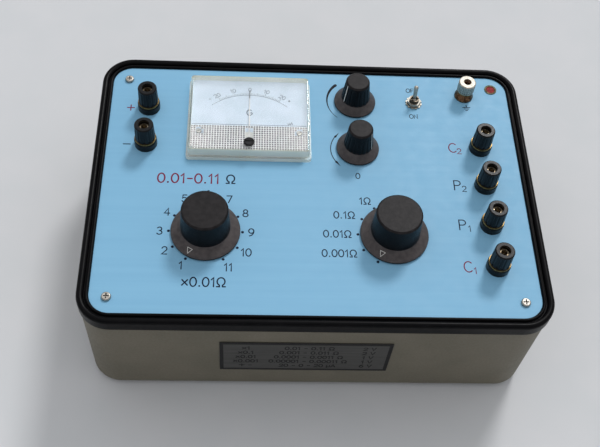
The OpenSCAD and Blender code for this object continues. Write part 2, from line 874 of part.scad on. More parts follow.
// Pointer: hub, tapered needle to the back and a short balance tail
module meter_pointer() {
  tail = 5;
  color("#1d1d20")
    on_panel([meter_x, pivot_y], pointer_rise)
      difference() {
        union() {
          cylinder(r = hub_r, h = pointer_thick);
          linear_extrude(pointer_thick)
            polygon([
              [-pointer_width / 2, 0],
              [pointer_width / 2, 0],
              [pointer_width / 4, pointer_length],
              [-pointer_width / 4, pointer_length]
            ]);
          translate([-pointer_width / 2, -tail, 0]) cube([pointer_width, tail, pointer_thick]);
        }
        translate([0, 0, -overlap]) cylinder(r = spindle_r + run_fit, h = pointer_thick + 2 * overlap);
      }
}

// Zero adjuster: slotted domed head over the cover and a neck through it
module meter_adjuster() {
  slot_width = 0.8;
  slot_depth = 0.7;
  color("#161618")
    on_panel([meter_x, adjuster_y])
      difference() {
        union() {
          translate([0, 0, cover_height + run_fit])
            rotate_extrude()
              polygon([
                [0, 0],
                [adjuster_r, 0],
                [adjuster_r, adjuster_dome / 2],
                [adjuster_r - adjuster_dome / 2, adjuster_dome],
                [0, adjuster_dome]
              ]);
          translate([0, 0, cover_top_in - apron_thick])
            cylinder(r = adjuster_neck_r, h = cover_wall + apron_thick + adjuster_dome / 2);
        }
        translate([-adjuster_r, -slot_width / 2, cover_height + adjuster_dome - slot_depth])
          cube([2 * adjuster_r, slot_width, slot_depth + overlap]);
      }
}

// The meter's two terminal studs, each with a collar that clamps the amplifier board
module meter_studs() {
  collar_r = 4;
  collar = 2;
  head = 2;
  board_top = -can_depth - board_gap;
  color("#b3a06a")
    for (side = [-1, 1])
      on_panel([meter_x + side * stud_spread, can_y]) {
        translate([0, 0, -can_depth - meter_stud_length])
          cylinder(r = meter_stud_r, h = meter_stud_length + can_wall);
        translate([0, 0, can_wall - can_depth]) cylinder(r = collar_r, h = head);
        translate([0, 0, board_top]) cylinder(r = collar_r, h = board_gap);
        translate([0, 0, board_top - board_thick - collar]) cylinder(r = collar_r, h = collar);
      }
}

// Amplifier board on the meter's studs, with its larger parts
module circuit_board() {
  board_low = -can_depth - board_gap - board_thick;
  color("#3f6b3a")
    on_panel([meter_x, can_y], board_low) {
      difference() {
        translate([-board_length / 2, -board_width / 2, 0]) cube([board_length, board_width, board_thick]);
        for (side = [-1, 1])
          translate([side * stud_spread, 0, -overlap])
            cylinder(r = meter_stud_r + seat_fit, h = board_thick + 2 * overlap);
      }
      for (i = [-1:1])
        translate([i * capacitor_step, board_width / 2 - capacitor_inset, -capacitor_height])
          cylinder(r = capacitor_r, h = capacitor_height + board_thick / 2);
      for (side = [-1, 1])
        translate([side * chip_step / 2, chip_inset - board_width / 2, board_thick / 4 - chip_size[2] / 2])
          cube([chip_size[0], chip_size[1], chip_size[2] + board_thick / 2], center = true);
    }
}

// Step dials

module decade_knob() {
  dial_knob(decade_x);
}

module ratio_knob() {
  dial_knob(ratio_x);
}

module dial_knob(x) {
  color("#1f1e20")
    on_panel([x, dials_y]) skirted_knob(dial_skirt_r, dial_grip_r, dial_grip_taper, dial_height);
}

module decade_spindle() {
  dial_spindle(decade_x);
}

module ratio_spindle() {
  dial_spindle(ratio_x);
}

// Shaft with its contact arm, turned to the first step
module dial_spindle(x) {
  low = deck_top - deck_thick - spindle_tail;
  color("#bfb9a8")
    on_panel([x, dials_y])
      rotate(-first_step) {
        translate([0, 0, low]) cylinder(r = shaft_r, h = bushing_rise + shaft_in_knob - low);
        translate([0, 0, brush_low]) cylinder(r = brush_boss_r, h = brush_boss_height);
        translate([-brush_width / 2, 0, brush_low]) cube([brush_width, contact_circle, brush_thick]);
        translate([0, contact_circle, brush_low]) cylinder(r = brush_width / 2, h = brush_thick);
      }
}

module decade_switch() {
  dial_switch(decade_x, decade_steps);
}

module ratio_switch() {
  dial_switch(ratio_x, ratio_steps);
}

// Switch frame: bushing and front plate, two pillars and a contact deck
module dial_switch(x, steps) {
  color("#5a4632")
    on_panel([x, dials_y])
      difference() {
        union() {
          bushing(front_plate_low);
          translate([0, 0, front_plate_low]) tube(deck_r, shaft_r + run_fit, front_plate_thick);
          translate([0, 0, deck_top - deck_thick]) tube(deck_r, shaft_r + run_fit, deck_thick);
          for (side = [-1, 1])
            translate([side * switch_pillar_x, 0, deck_top - overlap])
              cylinder(r = switch_pillar_r, h = deck_drop + 2 * overlap);
        }
        for (i = [0:steps - 1])
          translate(concat(dial_point(contact_circle, step_at(i)), deck_top - deck_thick - overlap))
            cylinder(r = contact_r + seat_fit, h = deck_thick + 2 * overlap);
      }
}

// Contact studs of both switches, headed over the decks
module switch_contacts() {
  color("#c2a455")
    for (dial = [[decade_x, decade_steps], [ratio_x, ratio_steps]])
      for (i = [0:dial[1] - 1])
        on_panel([dial[0], dials_y])
          translate(dial_point(contact_circle, step_at(i))) {
            translate([0, 0, deck_top - deck_thick - contact_tail])
              cylinder(r = contact_r, h = deck_thick + contact_tail);
            translate([0, 0, deck_top]) cylinder(r = contact_r + 2 * seat_fit, h = contact_rise);
          }
}

// Wound resistor bobbins hanging from the decks between the contacts
module resistor_bobbins() {
  low = deck_top - deck_thick - bobbin_length;
  color("#7d3f24")
    for (dial = [[decade_x, decade_steps], [ratio_x, ratio_steps]])
      for (i = [0:dial[1] - 2])
        on_panel([dial[0], dials_y])
          translate(concat(dial_point(bobbin_circle, step_at(i + 0.5)), low)) {
            cylinder(r = bobbin_core_r, h = bobbin_length);
            cylinder(r = bobbin_r, h = bobbin_flange);
            translate([0, 0, bobbin_length - bobbin_flange]) cylinder(r = bobbin_r, h = bobbin_flange);
          }
}

// Trimmers

module gain_knob() {
  trimmer_knob(gain_y);
}

module zero_knob() {
  trimmer_knob(zero_y);
}

module trimmer_knob(y) {
  grip_low = skirt_rise + skirt_edge / 2;
  grip_height = trimmer_height - knob_chamfer - grip_low;
  color("#1f1e20")
    on_panel([trimmer_x, y])
      difference() {
        skirted_knob(trimmer_skirt_r, trimmer_grip_r, trimmer_grip_taper, trimmer_height);
        flute_cutters(trimmer_flutes, trimmer_grip_r, flute_r, flute_bite, grip_low + knob_chamfer / 2,
                      grip_height - 2 * knob_chamfer, atan(trimmer_grip_taper / grip_height));
      }
}

module gain_shaft() {
  trimmer_shaft(gain_y);
}

module zero_shaft() {
  trimmer_shaft(zero_y);
}

module trimmer_shaft(y) {
  low = -panel_thick - pot_depth + pot_floor;
  color("#c9c6bf")
    on_panel([trimmer_x, y], low) cylinder(r = shaft_r, h = bushing_rise + shaft_in_knob - low);
}

module gain_pot() {
  trimmer_pot(gain_y);
}

module zero_pot() {
  trimmer_pot(zero_y);
}

// Trimmer: a can with a bushing, a blind bore for its shaft and three tags
module trimmer_pot(y) {
  tag_spread = 6;
  low = -panel_thick - pot_depth;
  color("#9b998f")
    on_panel([trimmer_x, y])
      difference() {
        union() {
          translate([0, 0, low]) cylinder(r = pot_r, h = pot_depth);
          translate([0, 0, -panel_thick - overlap])
            cylinder(r = bushing_r, h = bushing_rise + panel_thick + overlap);
          for (i = [-1:1])
            translate([i * tag_spread - tag_size[1] / 2, -pot_r - tag_size[2], low + pot_floor])
              cube([tag_size[1], pot_r, tag_size[0]]);
        }
        translate([0, 0, low + pot_floor])
          cylinder(r = shaft_r + run_fit, h = pot_depth + panel_thick + bushing_rise);
      }
}

module bushing_nuts() {
  places = [[decade_x, dials_y], [ratio_x, dials_y], [trimmer_x, gain_y], [trimmer_x, zero_y]];
  color("#c4c0b6")
    for (place = places)
      on_panel(place) hex_nut(bushing_nut_flats, bushing_r + run_fit, bushing_nut_height);
}

// Toggle switch

// Lever with its ball on a cross pin and the tail that throws the contacts, leaning to the back
module toggle_lever() {
  color("#cfcdc6")
    on_panel([toggle_x, toggle_y], toggle_pivot_rise)
      rotate([-toggle_lean, 0, 0]) {
        rotate([0, 90, 0]) cylinder(r = toggle_pin_r, h = 2 * toggle_pin_reach, center = true);
        rotate_extrude()
          difference() {
            union() {
              circle(toggle_ball_r);
              polygon([
                [0, 0],
                [toggle_foot_r, 0],
                [toggle_tip_r, toggle_length - toggle_tip_r],
                [0, toggle_length - toggle_tip_r]
              ]);
              translate([0, toggle_length - toggle_tip_r]) circle(toggle_tip_r);
              translate([0, -toggle_tail]) square([toggle_tail_r, toggle_tail]);
            }
            translate([-2 * toggle_length, -toggle_length]) square([2 * toggle_length, 3 * toggle_length]);
          }
      }
}

// Switch block below the panel with its tags and the bushing, slotted for the lever's pin
module toggle_switch() {
  tag_low = -panel_thick - toggle_box[2] - tag_size[2];
  slot_reach = toggle_pin_reach + run_fit;
  slot_half = toggle_pin_r + run_fit;
  color("#8d2f2a")
    on_panel([toggle_x, toggle_y])
      difference() {
        union() {
          translate([-toggle_box[0] / 2, -toggle_box[1] / 2, -panel_thick - toggle_box[2]])
            cube(toggle_box);
          translate([0, 0, -panel_thick - overlap])
            cylinder(r = toggle_bushing_r, h = panel_thick + overlap + toggle_bushing_rise);
          for (i = [-1:1])
            translate([-tag_size[0] / 2, i * toggle_tag_step - tag_size[1] / 2, tag_low])
              cube([tag_size[0], tag_size[1], tag_size[2] + overlap]);
        }
        translate([0, 0, -toggle_well])
          cylinder(r = toggle_bore_r, h = toggle_well + toggle_bushing_rise + overlap);
        translate([-slot_reach, -slot_half, toggle_pivot_rise - slot_half])
          cube([2 * slot_reach, 2 * slot_half, toggle_bushing_rise]);
      }
}

module toggle_nut() {
  color("#c9c6bf")
    on_panel([toggle_x, toggle_y], toggle_washer_thick)
      hex_nut(toggle_nut_flats, toggle_bushing_r + run_fit, toggle_nut_height);
}

// Lock washer with teeth round its rim
module toggle_washer() {
  tooth_count = 12;
  tooth_r = 0.7;
  color("#b9b29e")
    on_panel([toggle_x, toggle_y])
      difference() {
        tube(toggle_washer_r, toggle_bushing_r + run_fit, toggle_washer_thick);
        flute_cutters(tooth_count, toggle_washer_r, tooth_r, tooth_r, -overlap,
                      toggle_washer_thick + 2 * overlap);
      }
}

// Terminals

// Upper bases with a spigot through the panel, and the washers below it
module post_insulators() {
  color("#19191b")
    for (place = post_places)
      on_panel(place) {
        rotate_extrude() {
          translate([stud_bore_r, 0]) square([base_r - stud_bore_r, base_height - base_round]);
          translate([stud_bore_r, 0]) square([base_r - base_round - stud_bore_r, base_height]);
          translate([base_r - base_round, base_height - base_round]) circle(base_round);
          translate([stud_bore_r, -panel_thick]) square([spigot_r - stud_bore_r, panel_thick + overlap]);
        }
        translate([0, 0, -panel_thick - washer_thick]) tube(washer_r, stud_bore_r, washer_thick);
      }
}

module post_studs() {
  color("#c8b574")
    for (place = post_places)
      on_panel(place)
        difference() {
          translate([0, 0, stud_low]) cylinder(r = stud_r, h = stud_top - stud_low);
          translate([0, 0, stud_top - socket_depth]) cylinder(r = socket_r, h = socket_depth + overlap);
        }
}

// Clamp ring that rises with its cap
module clamp_ring(place, low, radius) {
  color("#d0ab58")
    on_panel(place, low) tube(radius, stud_bore_r, ring_thick);
}

// Fluted cap with a running thread bore and a wide mouth over the socket
module terminal_cap(place) {
  top = cap_low + cap_height;
  color("#19191b")
    on_panel(place)
      difference() {
        rotate_extrude()
          polygon([
            [stud_bore_r, cap_low],
            [cap_r - cap_chamfer, cap_low],
            [cap_r, cap_low + cap_chamfer],
            [cap_r - cap_taper, top - cap_chamfer],
            [cap_r - cap_taper - cap_chamfer, top],
            [mouth_r, top],
            [mouth_r, top - mouth_depth],
            [stud_bore_r, top - mouth_depth]
          ]);
        flute_cutters(cap_flutes, cap_r, flute_r, flute_bite, cap_low + 2 * cap_chamfer,
                      cap_height - 4 * cap_chamfer, atan(cap_taper / cap_height));
      }
}

module plus_ring() {
  clamp_ring(post_places[0], base_height, ring_r);
}

module plus_cap() {
  terminal_cap(post_places[0]);
}

module minus_ring() {
  clamp_ring(post_places[1], base_height, ring_r);
}

module minus_cap() {
  terminal_cap(post_places[1]);
}

module c2_ring() {
  clamp_ring(post_places[2], base_height, ring_r);
}

module c2_cap() {
  terminal_cap(post_places[2]);
}

module p2_ring() {
  clamp_ring(post_places[3], base_height, ring_r);
}

module p2_cap() {
  terminal_cap(post_places[3]);
}

module p1_ring() {
  clamp_ring(post_places[4], base_height, ring_r);
}

module p1_cap() {
  terminal_cap(post_places[4]);
}

module c1_ring() {
  clamp_ring(post_places[5], base_height, ring_r);
}

module c1_cap() {
  terminal_cap(post_places[5]);
}

// Ground terminal: a waisted metal foot turned in one piece with its stud
module ground_post() {
  color("#b6a98a")
    on_panel(ground_place)
      difference() {
        rotate_extrude()
          polygon([
            [0, stud_low],
            [stud_r, stud_low],
            [stud_r, 0],
            [ground_flange_r, 0],
            [ground_flange_r, ground_edge],
            [ground_waist_r, ground_foot_height - ground_edge],
            [ground_waist_r + ground_edge, ground_foot_height],
            [stud_r, ground_foot_height],
            [stud_r, ground_stud_top],
            [0, ground_stud_top]
          ]);
        translate([0, 0, ground_stud_top - ground_socket_depth])
          cylinder(r = socket_r, h = ground_socket_depth + overlap);
      }
}

module ground_ring() {
  clamp_ring(ground_place, ground_foot_height, ground_waist_r + ground_edge);
}

module ground_cap() {
  top = ground_cap_low + ground_cap_height;
  color("#d5d2c9")
    on_panel(ground_place)
      difference() {
        rotate_extrude()
          polygon([
            [stud_bore_r, ground_cap_low],
            [ground_cap_r - cap_chamfer, ground_cap_low],
            [ground_cap_r, ground_cap_low + cap_chamfer],
            [ground_cap_r, top - cap_chamfer],
            [ground_cap_r - cap_chamfer, top],
            [ground_mouth_r, top],
            [ground_mouth_r, top - ground_lid],
            [stud_bore_r, top - ground_lid]
          ]);
        flute_cutters(knurl_count, ground_cap_r, knurl_r, knurl_bite,
                      ground_cap_low + 2 * cap_chamfer, ground_cap_height - 4 * cap_chamfer);
      }
}

// Nuts that draw the terminals down onto the panel
module terminal_nuts() {
  color("#c8b574") {
    for (place = post_places)
      on_panel(place, -panel_thick - washer_thick - lug_thick - terminal_nut_height)
        hex_nut(terminal_nut_flats, stud_bore_r, terminal_nut_height);
    on_panel(ground_place, -panel_thick - lug_thick - terminal_nut_height)
      hex_nut(terminal_nut_flats, stud_bore_r, terminal_nut_height);
  }
}

module solder_lugs() {
  color("#cfcabb") {
    for (place = post_places)
      on_panel(place, -panel_thick - washer_thick - lug_thick) rotate(place[0] > 0 ? 180 : 0) solder_lug();
    on_panel(ground_place, -panel_thick - lug_thick) rotate(180) solder_lug();
  }
}

// Ring lug with a tail to the right
module solder_lug() {
  difference() {
    union() {
      cylinder(r = lug_r, h = lug_thick);
      translate([0, -lug_tail[1] / 2, 0]) cube([lug_tail[0], lug_tail[1], lug_thick]);
    }
    translate([0, 0, -overlap]) cylinder(r = stud_bore_r, h = lug_thick + 2 * overlap);
  }
}

// Battery

module battery_tray() {
  color("#222224")
    translate([tray_x, tray_y, floor_top])
      difference() {
        translate([0, 0, tray_height / 2])
          cube([tray_room[0] + 2 * tray_wall, tray_room[1] + 2 * tray_wall, tray_height], center = true);
        translate([0, 0, tray_wall + tray_height / 2])
          cube([tray_room[0], tray_room[1], tray_height], center = true);
      }
}

// Round cells lying side by side, every other one turned end for end
module battery_cells() {
  color("#7f8a96")
    for (i = [0:cell_count - 1])
      translate([tray_x, tray_y + (i - (cell_count - 1) / 2) * cell_pitch, floor_top + tray_wall + cell_r])
        rotate([0, i % 2 == 0 ? 90 : -90, 0]) {
          translate([0, 0, -cell_length / 2]) cylinder(r = cell_r, h = cell_length - cell_tip);
          cylinder(r = cell_tip_r, h = cell_length / 2);
        }
}

lower_case();
rim_frame();
front_panel();
panel_screws();
seal_cup();
seal_wax();
data_plate();
rubber_feet();
foot_screws();
meter_body();
meter_cover();
meter_dial();
meter_apron();
meter_magnet();
meter_bridge();
meter_coil();
meter_pointer();
meter_adjuster();
meter_studs();
circuit_board();
decade_knob();
decade_spindle();
decade_switch();
ratio_knob();
ratio_spindle();
ratio_switch();
switch_contacts();
resistor_bobbins();
gain_knob();
gain_shaft();
gain_pot();
zero_knob();
zero_shaft();
zero_pot();
bushing_nuts();
toggle_lever();
toggle_switch();
toggle_nut();
toggle_washer();
post_insulators();
post_studs();
plus_ring();
plus_cap();
minus_ring();
minus_cap();
c2_ring();
c2_cap();
p2_ring();
p2_cap();
p1_ring();
p1_cap();
c1_ring();
c1_cap();
ground_post();
ground_ring();
ground_cap();
terminal_nuts();
solder_lugs();
battery_tray();
battery_cells();
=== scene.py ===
import json
import math

import bmesh
import bpy
from mathutils import Matrix, Vector


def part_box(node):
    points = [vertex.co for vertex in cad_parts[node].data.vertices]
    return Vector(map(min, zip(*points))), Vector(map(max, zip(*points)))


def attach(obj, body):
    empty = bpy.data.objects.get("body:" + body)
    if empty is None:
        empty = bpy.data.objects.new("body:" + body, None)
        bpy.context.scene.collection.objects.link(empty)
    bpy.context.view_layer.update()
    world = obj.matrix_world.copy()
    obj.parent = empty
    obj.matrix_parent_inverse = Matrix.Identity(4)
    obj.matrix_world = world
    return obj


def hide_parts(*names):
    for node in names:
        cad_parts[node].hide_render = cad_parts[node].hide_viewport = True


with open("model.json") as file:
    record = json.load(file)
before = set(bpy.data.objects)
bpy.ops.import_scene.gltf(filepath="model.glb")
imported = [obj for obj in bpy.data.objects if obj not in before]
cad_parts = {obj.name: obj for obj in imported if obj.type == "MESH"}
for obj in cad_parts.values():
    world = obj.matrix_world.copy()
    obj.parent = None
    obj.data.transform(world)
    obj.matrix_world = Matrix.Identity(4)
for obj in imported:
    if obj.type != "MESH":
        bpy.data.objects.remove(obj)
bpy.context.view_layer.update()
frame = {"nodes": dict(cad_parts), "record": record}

# Units: the frame is in metres, and sizes below are millimetres unless they say otherwise
MM = 0.001

# The photograph's camera: place, the point it looks at, roll in degrees and lens
CAMERA_PLACE = (-44.7, -338.9, 563.0)
CAMERA_TARGET = (-10.1, -29.6, 86.0)
CAMERA_ROLL = 6.48
CAMERA_LENS = 55.83
SENSOR_WIDTH = 36.0

# Printed marks: depth of the ink, the share of it by which each stroke lies higher than the one before,
# and width of a letter's stroke as a share of its height
INK_DEPTH = 0.03
INK_STEP = 0.01
STROKE = 0.14

# Step dials: angles in degrees clockwise from the back
STEP_ANGLE = 30
FIRST_STEP = -150
DECADE_STEPS = 11
RATIO_STEPS = 5
DOT_CIRCLE = 22.3
DOT_RADIUS = 0.9
DIGIT_CIRCLE = 27.6
DIGIT_HEIGHT = 5.1

# Knobs: height over the panel from which the crown's painted sheen takes over from the skirt's
CROWN_START = 6

# Meter: scale circle about the pointer's axis, its half angle and the angle of one division
SCALE_RADIUS = 37.4
SCALE_REACH = 41
DIVISION = 1.53
NUMBER_RADIUS = 42.2
POINTER_TIP = 34.0

# Meter: thickness of the cover's flange and of the band under its stipple, and the dial screws' places
# beside and behind the pointer's axis, and their radius
COVER_FLANGE = 3.0
BAND_BASE = 0.2
DIAL_SCREW_SPREAD = 32.3
DIAL_SCREW_LEAD = 6.3
DIAL_SCREW_R = 1.9

# Studio: way from the object to the lamp, its strength and its width in degrees, then the way to the
# brightest sky and the sky's darkest and brightest tones
LAMP_AIM = (0.3, 0.63, 0.72)
LAMP_STRENGTH = 1.3
LAMP_ANGLE = 13
SKY_AIM = (0.05, 0.25, 0.95)
SKY_LOW = (0.1, 0.1, 0.105, 1)
SKY_HIGH = (0.85, 0.86, 0.88, 1)


def middle(node):
    """Middle of a node's box, in millimetres."""
    low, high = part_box(node)
    return (low + high) / 2 / MM


def top(node):
    """Height of a node's highest point, in millimetres."""
    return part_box(node)[1].z / MM


PANEL_TOP = top("front_panel")
DIAL_TOP = top("meter_dial")


def srgb(red, green, blue):
    """Linear colour of an 8-bit display colour."""

    def linear(value):
        value /= 255
        return value / 12.92 if value <= 0.04045 else ((value + 0.055) / 1.055) ** 2.4

    return (linear(red), linear(green), linear(blue), 1.0)


# Materials


class Finish:
    """A material under construction: its node tree and its surface shader."""

    def __init__(self, name):
        self.material = bpy.data.materials.new(name)
        self.material.use_nodes = True
        self.tree = self.material.node_tree
        self.shader = self.tree.nodes["Principled BSDF"]

    def add(self, kind, inputs=None, **settings):
        node = self.tree.nodes.new(kind)
        for key, value in settings.items():
            setattr(node, key, value)
        for key, value in (inputs or {}).items():
            node.inputs[key].default_value = value
        return node

    def link(self, source, target):
        """Links to a socket, or to the shader's socket of that name."""
        if isinstance(target, str):
            target = self.shader.inputs[target]
        self.tree.links.new(source, target)

    def set(self, **values):
        """Sets constants on the shader; an underscore in a name stands for a space."""
        for key, value in values.items():
            self.shader.inputs[key.replace("_", " ")].default_value = value

    def coordinates(self, stretch=(1, 1, 1)):
        place = self.add("ShaderNodeTexCoord")
        mapping = self.add("ShaderNodeMapping", {"Scale": stretch})
        self.link(place.outputs["Object"], mapping.inputs["Vector"])
        return mapping.outputs["Vector"]

    def noise(self, size, detail=2.0, stretch=(1, 1, 1)):
        """Noise with features of about the given size in millimetres."""
        noise = self.add("ShaderNodeTexNoise", {"Scale": 1 / (size * MM), "Detail": detail})
        self.link(self.coordinates(stretch), noise.inputs["Vector"])
        return noise.outputs["Fac"]

    def along(self, axis, start, end):
        """Number that goes from 0 to 1 between two places on an axis, in millimetres."""
        split = self.add("ShaderNodeSeparateXYZ")
        self.link(self.coordinates(), split.inputs["Vector"])
        span = self.add("ShaderNodeMapRange", {"From Min": start * MM, "From Max": end * MM})
        self.link(split.outputs[axis], span.inputs["Value"])
        return span.outputs["Result"]

    def away_from(self, place, start, end):
        """Number that goes from 0 to 1 between two distances from a place, in millimetres."""
        gap = self.add("ShaderNodeVectorMath", {1: Vector(place) * MM}, operation="DISTANCE")
        self.link(self.coordinates(), gap.inputs[0])
        span = self.add("ShaderNodeMapRange", {"From Min": start * MM, "From Max": end * MM})
        self.link(gap.outputs["Value"], span.inputs["Value"])
        return span.outputs["Result"]

    def threads(self, pitch):
        """Screw thread about an upright axis, as a height between 0 and 1."""
        wave = self.add("ShaderNodeTexWave", {"Scale": math.pi / 10 / (pitch * MM)}, bands_direction="Z")
        self.link(self.coordinates(), wave.inputs["Vector"])
        return wave.outputs["Fac"]

    def facing_up(self, start, end, or_down=False):
        """Number that goes from 0 to 1 as a face turns from upright to level."""
        split = self.add("ShaderNodeSeparateXYZ")
        self.link(self.add("ShaderNodeNewGeometry").outputs["Normal"], split.inputs["Vector"])
        rise = split.outputs["Z"]
        if or_down:
            size = self.add("ShaderNodeMath", operation="ABSOLUTE")
            self.link(rise, size.inputs[0])
            rise = size.outputs["Value"]
        span = self.add("ShaderNodeMapRange", {"From Min": start, "From Max": end})
        self.link(rise, span.inputs["Value"])
        return span.outputs["Result"]

    def crevice(self, reach):
        """Number that goes from 0 in a slot or corner, where shade falls, to 1 on an open face; it masks
        painted shade.
        """
        shade = self.add("ShaderNodeAmbientOcclusion", {"Distance": reach * MM}, samples=8)
        span = self.add("ShaderNodeMapRange", {"From Min": 0.45, "From Max": 0.85})
        self.link(shade.outputs["AO"], span.inputs["Value"])
        return span.outputs["Result"]

    def mix(self, factor, first, last):
        """Colour that goes from the first to the last as the factor goes from 0 to 1."""
        blend = self.add("ShaderNodeMix", data_type="RGBA")
        self.link(factor, blend.inputs["Factor"])
        self.link(first, blend.inputs["A"])
        self.link(last, blend.inputs["B"])
        return blend.outputs["Result"]

    def product(self, first, second):
        """Number that two factors make together."""
        times = self.add("ShaderNodeMath", operation="MULTIPLY")
        self.link(first, times.inputs[0])
        self.link(second, times.inputs[1])
        return times.outputs["Value"]

    def between(self, factor, dark, light, low=0.35, high=0.65):
        """Colour that runs from dark to light as the factor goes from low to high."""
        ramp = self.add("ShaderNodeValToRGB")
        first, last = ramp.color_ramp.elements
        first.position, first.color = low, dark
        last.position, last.color = high, light
        self.link(factor, ramp.inputs["Fac"])
        return ramp.outputs["Color"]

    def spread(self, factor, low, high):
        """Number that runs from low to high over the middle of the factor's range."""
        spread = self.add(
            "ShaderNodeMapRange", {"From Min": 0.3, "From Max": 0.7, "To Min": low, "To Max": high})
        self.link(factor, spread.inputs["Value"])
        return spread.outputs["Result"]

    def bump(self, height, depth, edge):
        """Relief of the given depth on faces whose edges are softened, both in millimetres."""
        relief = self.add("ShaderNodeBump", {"Strength": 1.0, "Distance": depth * MM})
        self.link(height, relief.inputs["Height"])
        if edge:
            soft = self.add("ShaderNodeBevel", {"Radius": edge * MM}, samples=4)
            self.link(soft.outputs["Normal"], relief.inputs["Normal"])
        self.link(relief.outputs["Normal"], "Normal")

    def pass_light(self, share):
        """Lets a share of the lamps' light straight through to what lies behind."""
        path = self.add("ShaderNodeLightPath")
        passing = self.add("ShaderNodeBsdfTransparent", {"Color": (share, share, share, 1)})
        mix = self.add("ShaderNodeMixShader")
        self.link(path.outputs["Is Shadow Ray"], mix.inputs["Fac"])
        self.link(self.shader.outputs["BSDF"], mix.inputs[1])
        self.link(passing.outputs["BSDF"], mix.inputs[2])
        self.link(mix.outputs["Shader"], self.tree.nodes["Material Output"].inputs["Surface"])


def finish(name, dark, light, blotch, rough, grain, depth, edge=0.25, stretch=(1, 1, 1), **constants):
    """Two-tone surface with uneven gloss, a fine grain and softened edges."""
    made = Finish(name)
    made.link(made.between(made.noise(blotch, 4.0, stretch), dark, light), "Base Color")
    made.link(made.spread(made.noise(3 * grain, 3.0, stretch), *rough), "Roughness")
    made.bump(made.noise(grain, 2.0, stretch), depth, edge)
    made.set(**constants)
    return made.material


def metal(name, dark, light, rough, blotch=1.5, edge=0.2, stretch=(1, 1, 1)):
    return finish(name, dark, light, blotch, rough, 0.25, 0.005, edge, stretch, Metallic=1.0)


def grimy_metal(name, dark, light, rough):
    """Plated metal with painted shade darkening its slots, knurls and corners."""
    made = Finish(name)
    mottle = made.noise(1.4, 3.0)
    # Painted shade: slots, knurls and corners are darkened by the occlusion mask
    painted_recess_shade = made.between(mottle, srgb(30, 26, 22), srgb(58, 50, 42))
    made.link(made.mix(made.crevice(1.2), painted_recess_shade, made.between(mottle, dark, light)), "Base Color")
    made.link(made.spread(made.noise(0.7), *rough), "Roughness")
    made.bump(made.noise(0.25), 0.005, 0.15)
    made.set(Metallic=1.0)
    return made.material


def panel_paint():
    """Baked enamel: long faint streaks from the roller over a fine orange peel."""
    made = Finish("panel_paint")
    streaks = made.noise(3.0, 3.0, (0.03, 1, 1))
    made.link(made.between(streaks, srgb(131, 187, 221), srgb(135, 191, 224), 0.3, 0.7), "Base Color")
    made.link(made.spread(made.noise(6.0), 0.46, 0.56), "Roughness")
    made.bump(made.noise(1.1), 0.004, 0.3)
    made.set(Specular_IOR_Level=0.3)
    return made.material


def clear_plastic():
    """Acrylic with a polished face, milky sides and a clouded flange; it lets lamps reach the dial."""
    made = Finish("clear_plastic")
    flange_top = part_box("meter_cover")[0].z / MM + COVER_FLANGE
    over_flange = made.spread(made.along("Z", flange_top + 0.2, flange_top + 0.6), 0.58, 1.0)
    level = made.product(made.facing_up(0.3, 0.8, or_down=True), over_flange)
    clouds, smears = made.noise(14.0), made.noise(5.0, 4.0)
    sides = made.between(clouds, srgb(244, 246, 234), srgb(250, 251, 242))
    face = made.between(clouds, srgb(240, 244, 244), srgb(248, 250, 250))
    made.link(made.mix(level, sides, face), "Base Color")
    made.link(made.mix(level, made.spread(smears, 0.35, 0.45), made.spread(smears, 0.01, 0.04)), "Roughness")
    made.link(made.spread(level, 0.15, 0.94), "Transmission Weight")
    made.set(IOR=1.49)
    made.pass_light(0.96)
    return made.material


def pointer_paint():
    """Pale tube with a black tip."""
    made = Finish("pointer_black")
    start = middle("meter_coil").y + POINTER_TIP
    tip = made.along("Y", start, start + 0.4)
    made.link(made.between(tip, srgb(226, 222, 220), srgb(16, 16, 20), 0.4, 0.6), "Base Color")
    made.link(made.spread(made.noise(1.0), 0.35, 0.55), "Roughness")
    return made.material


def band_plastic():
    """Clouded plastic whose stipple tips carry painted shade: dark over the movement and paler towards the
    ends.
    """
    made = Finish("frosted_plastic")
    low, high = (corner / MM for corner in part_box("meter_apron"))
    rise = made.along("Z", low.z + BAND_BASE, high.z)
    ground = srgb(242, 240, 240)
    # Painted shade: tips darken towards the middle, where the shaded movement lies beneath the band
    dark = made.between(rise, ground, srgb(40, 34, 44), 0.2, 0.45)
    pale = made.between(rise, ground, srgb(150, 142, 142), 0.2, 0.45)
    ends = made.away_from(middle("meter_apron"), 12, 36)
    made.link(made.mix(ends, dark, pale), "Base Color")
    made.link(made.spread(made.noise(2.4), 0.2, 0.4), "Roughness")
    made.bump(made.noise(0.3), 0.01, 0.0)
    made.pass_light(0.6)
    return made.material


def toggle_block():
    """Red moulded block below the panel and a dark threaded bushing above it."""
    made = Finish("switch_moulding")
    bushing = made.along("Z", PANEL_TOP - 1.2, PANEL_TOP - 1.0)
    made.link(made.between(bushing, srgb(146, 46, 38), srgb(92, 84, 74), 0.4, 0.6), "Base Color")
    made.link(bushing, "Metallic")
    made.link(made.spread(made.noise(0.6), 0.28, 0.45), "Roughness")
    made.bump(made.threads(0.5), 0.12, 0.0)
    return made.material


def stud_brass():
    """Dull brass with a screw thread."""
    made = Finish("stud_brass")
    made.link(made.between(made.noise(0.9), srgb(108, 90, 68), srgb(196, 180, 152)), "Base Color")
    made.link(made.spread(made.noise(0.6), 0.24, 0.42), "Roughness")
    made.bump(made.threads(1.0), 0.2, 0.0)
    made.set(Metallic=1.0)
    return made.material


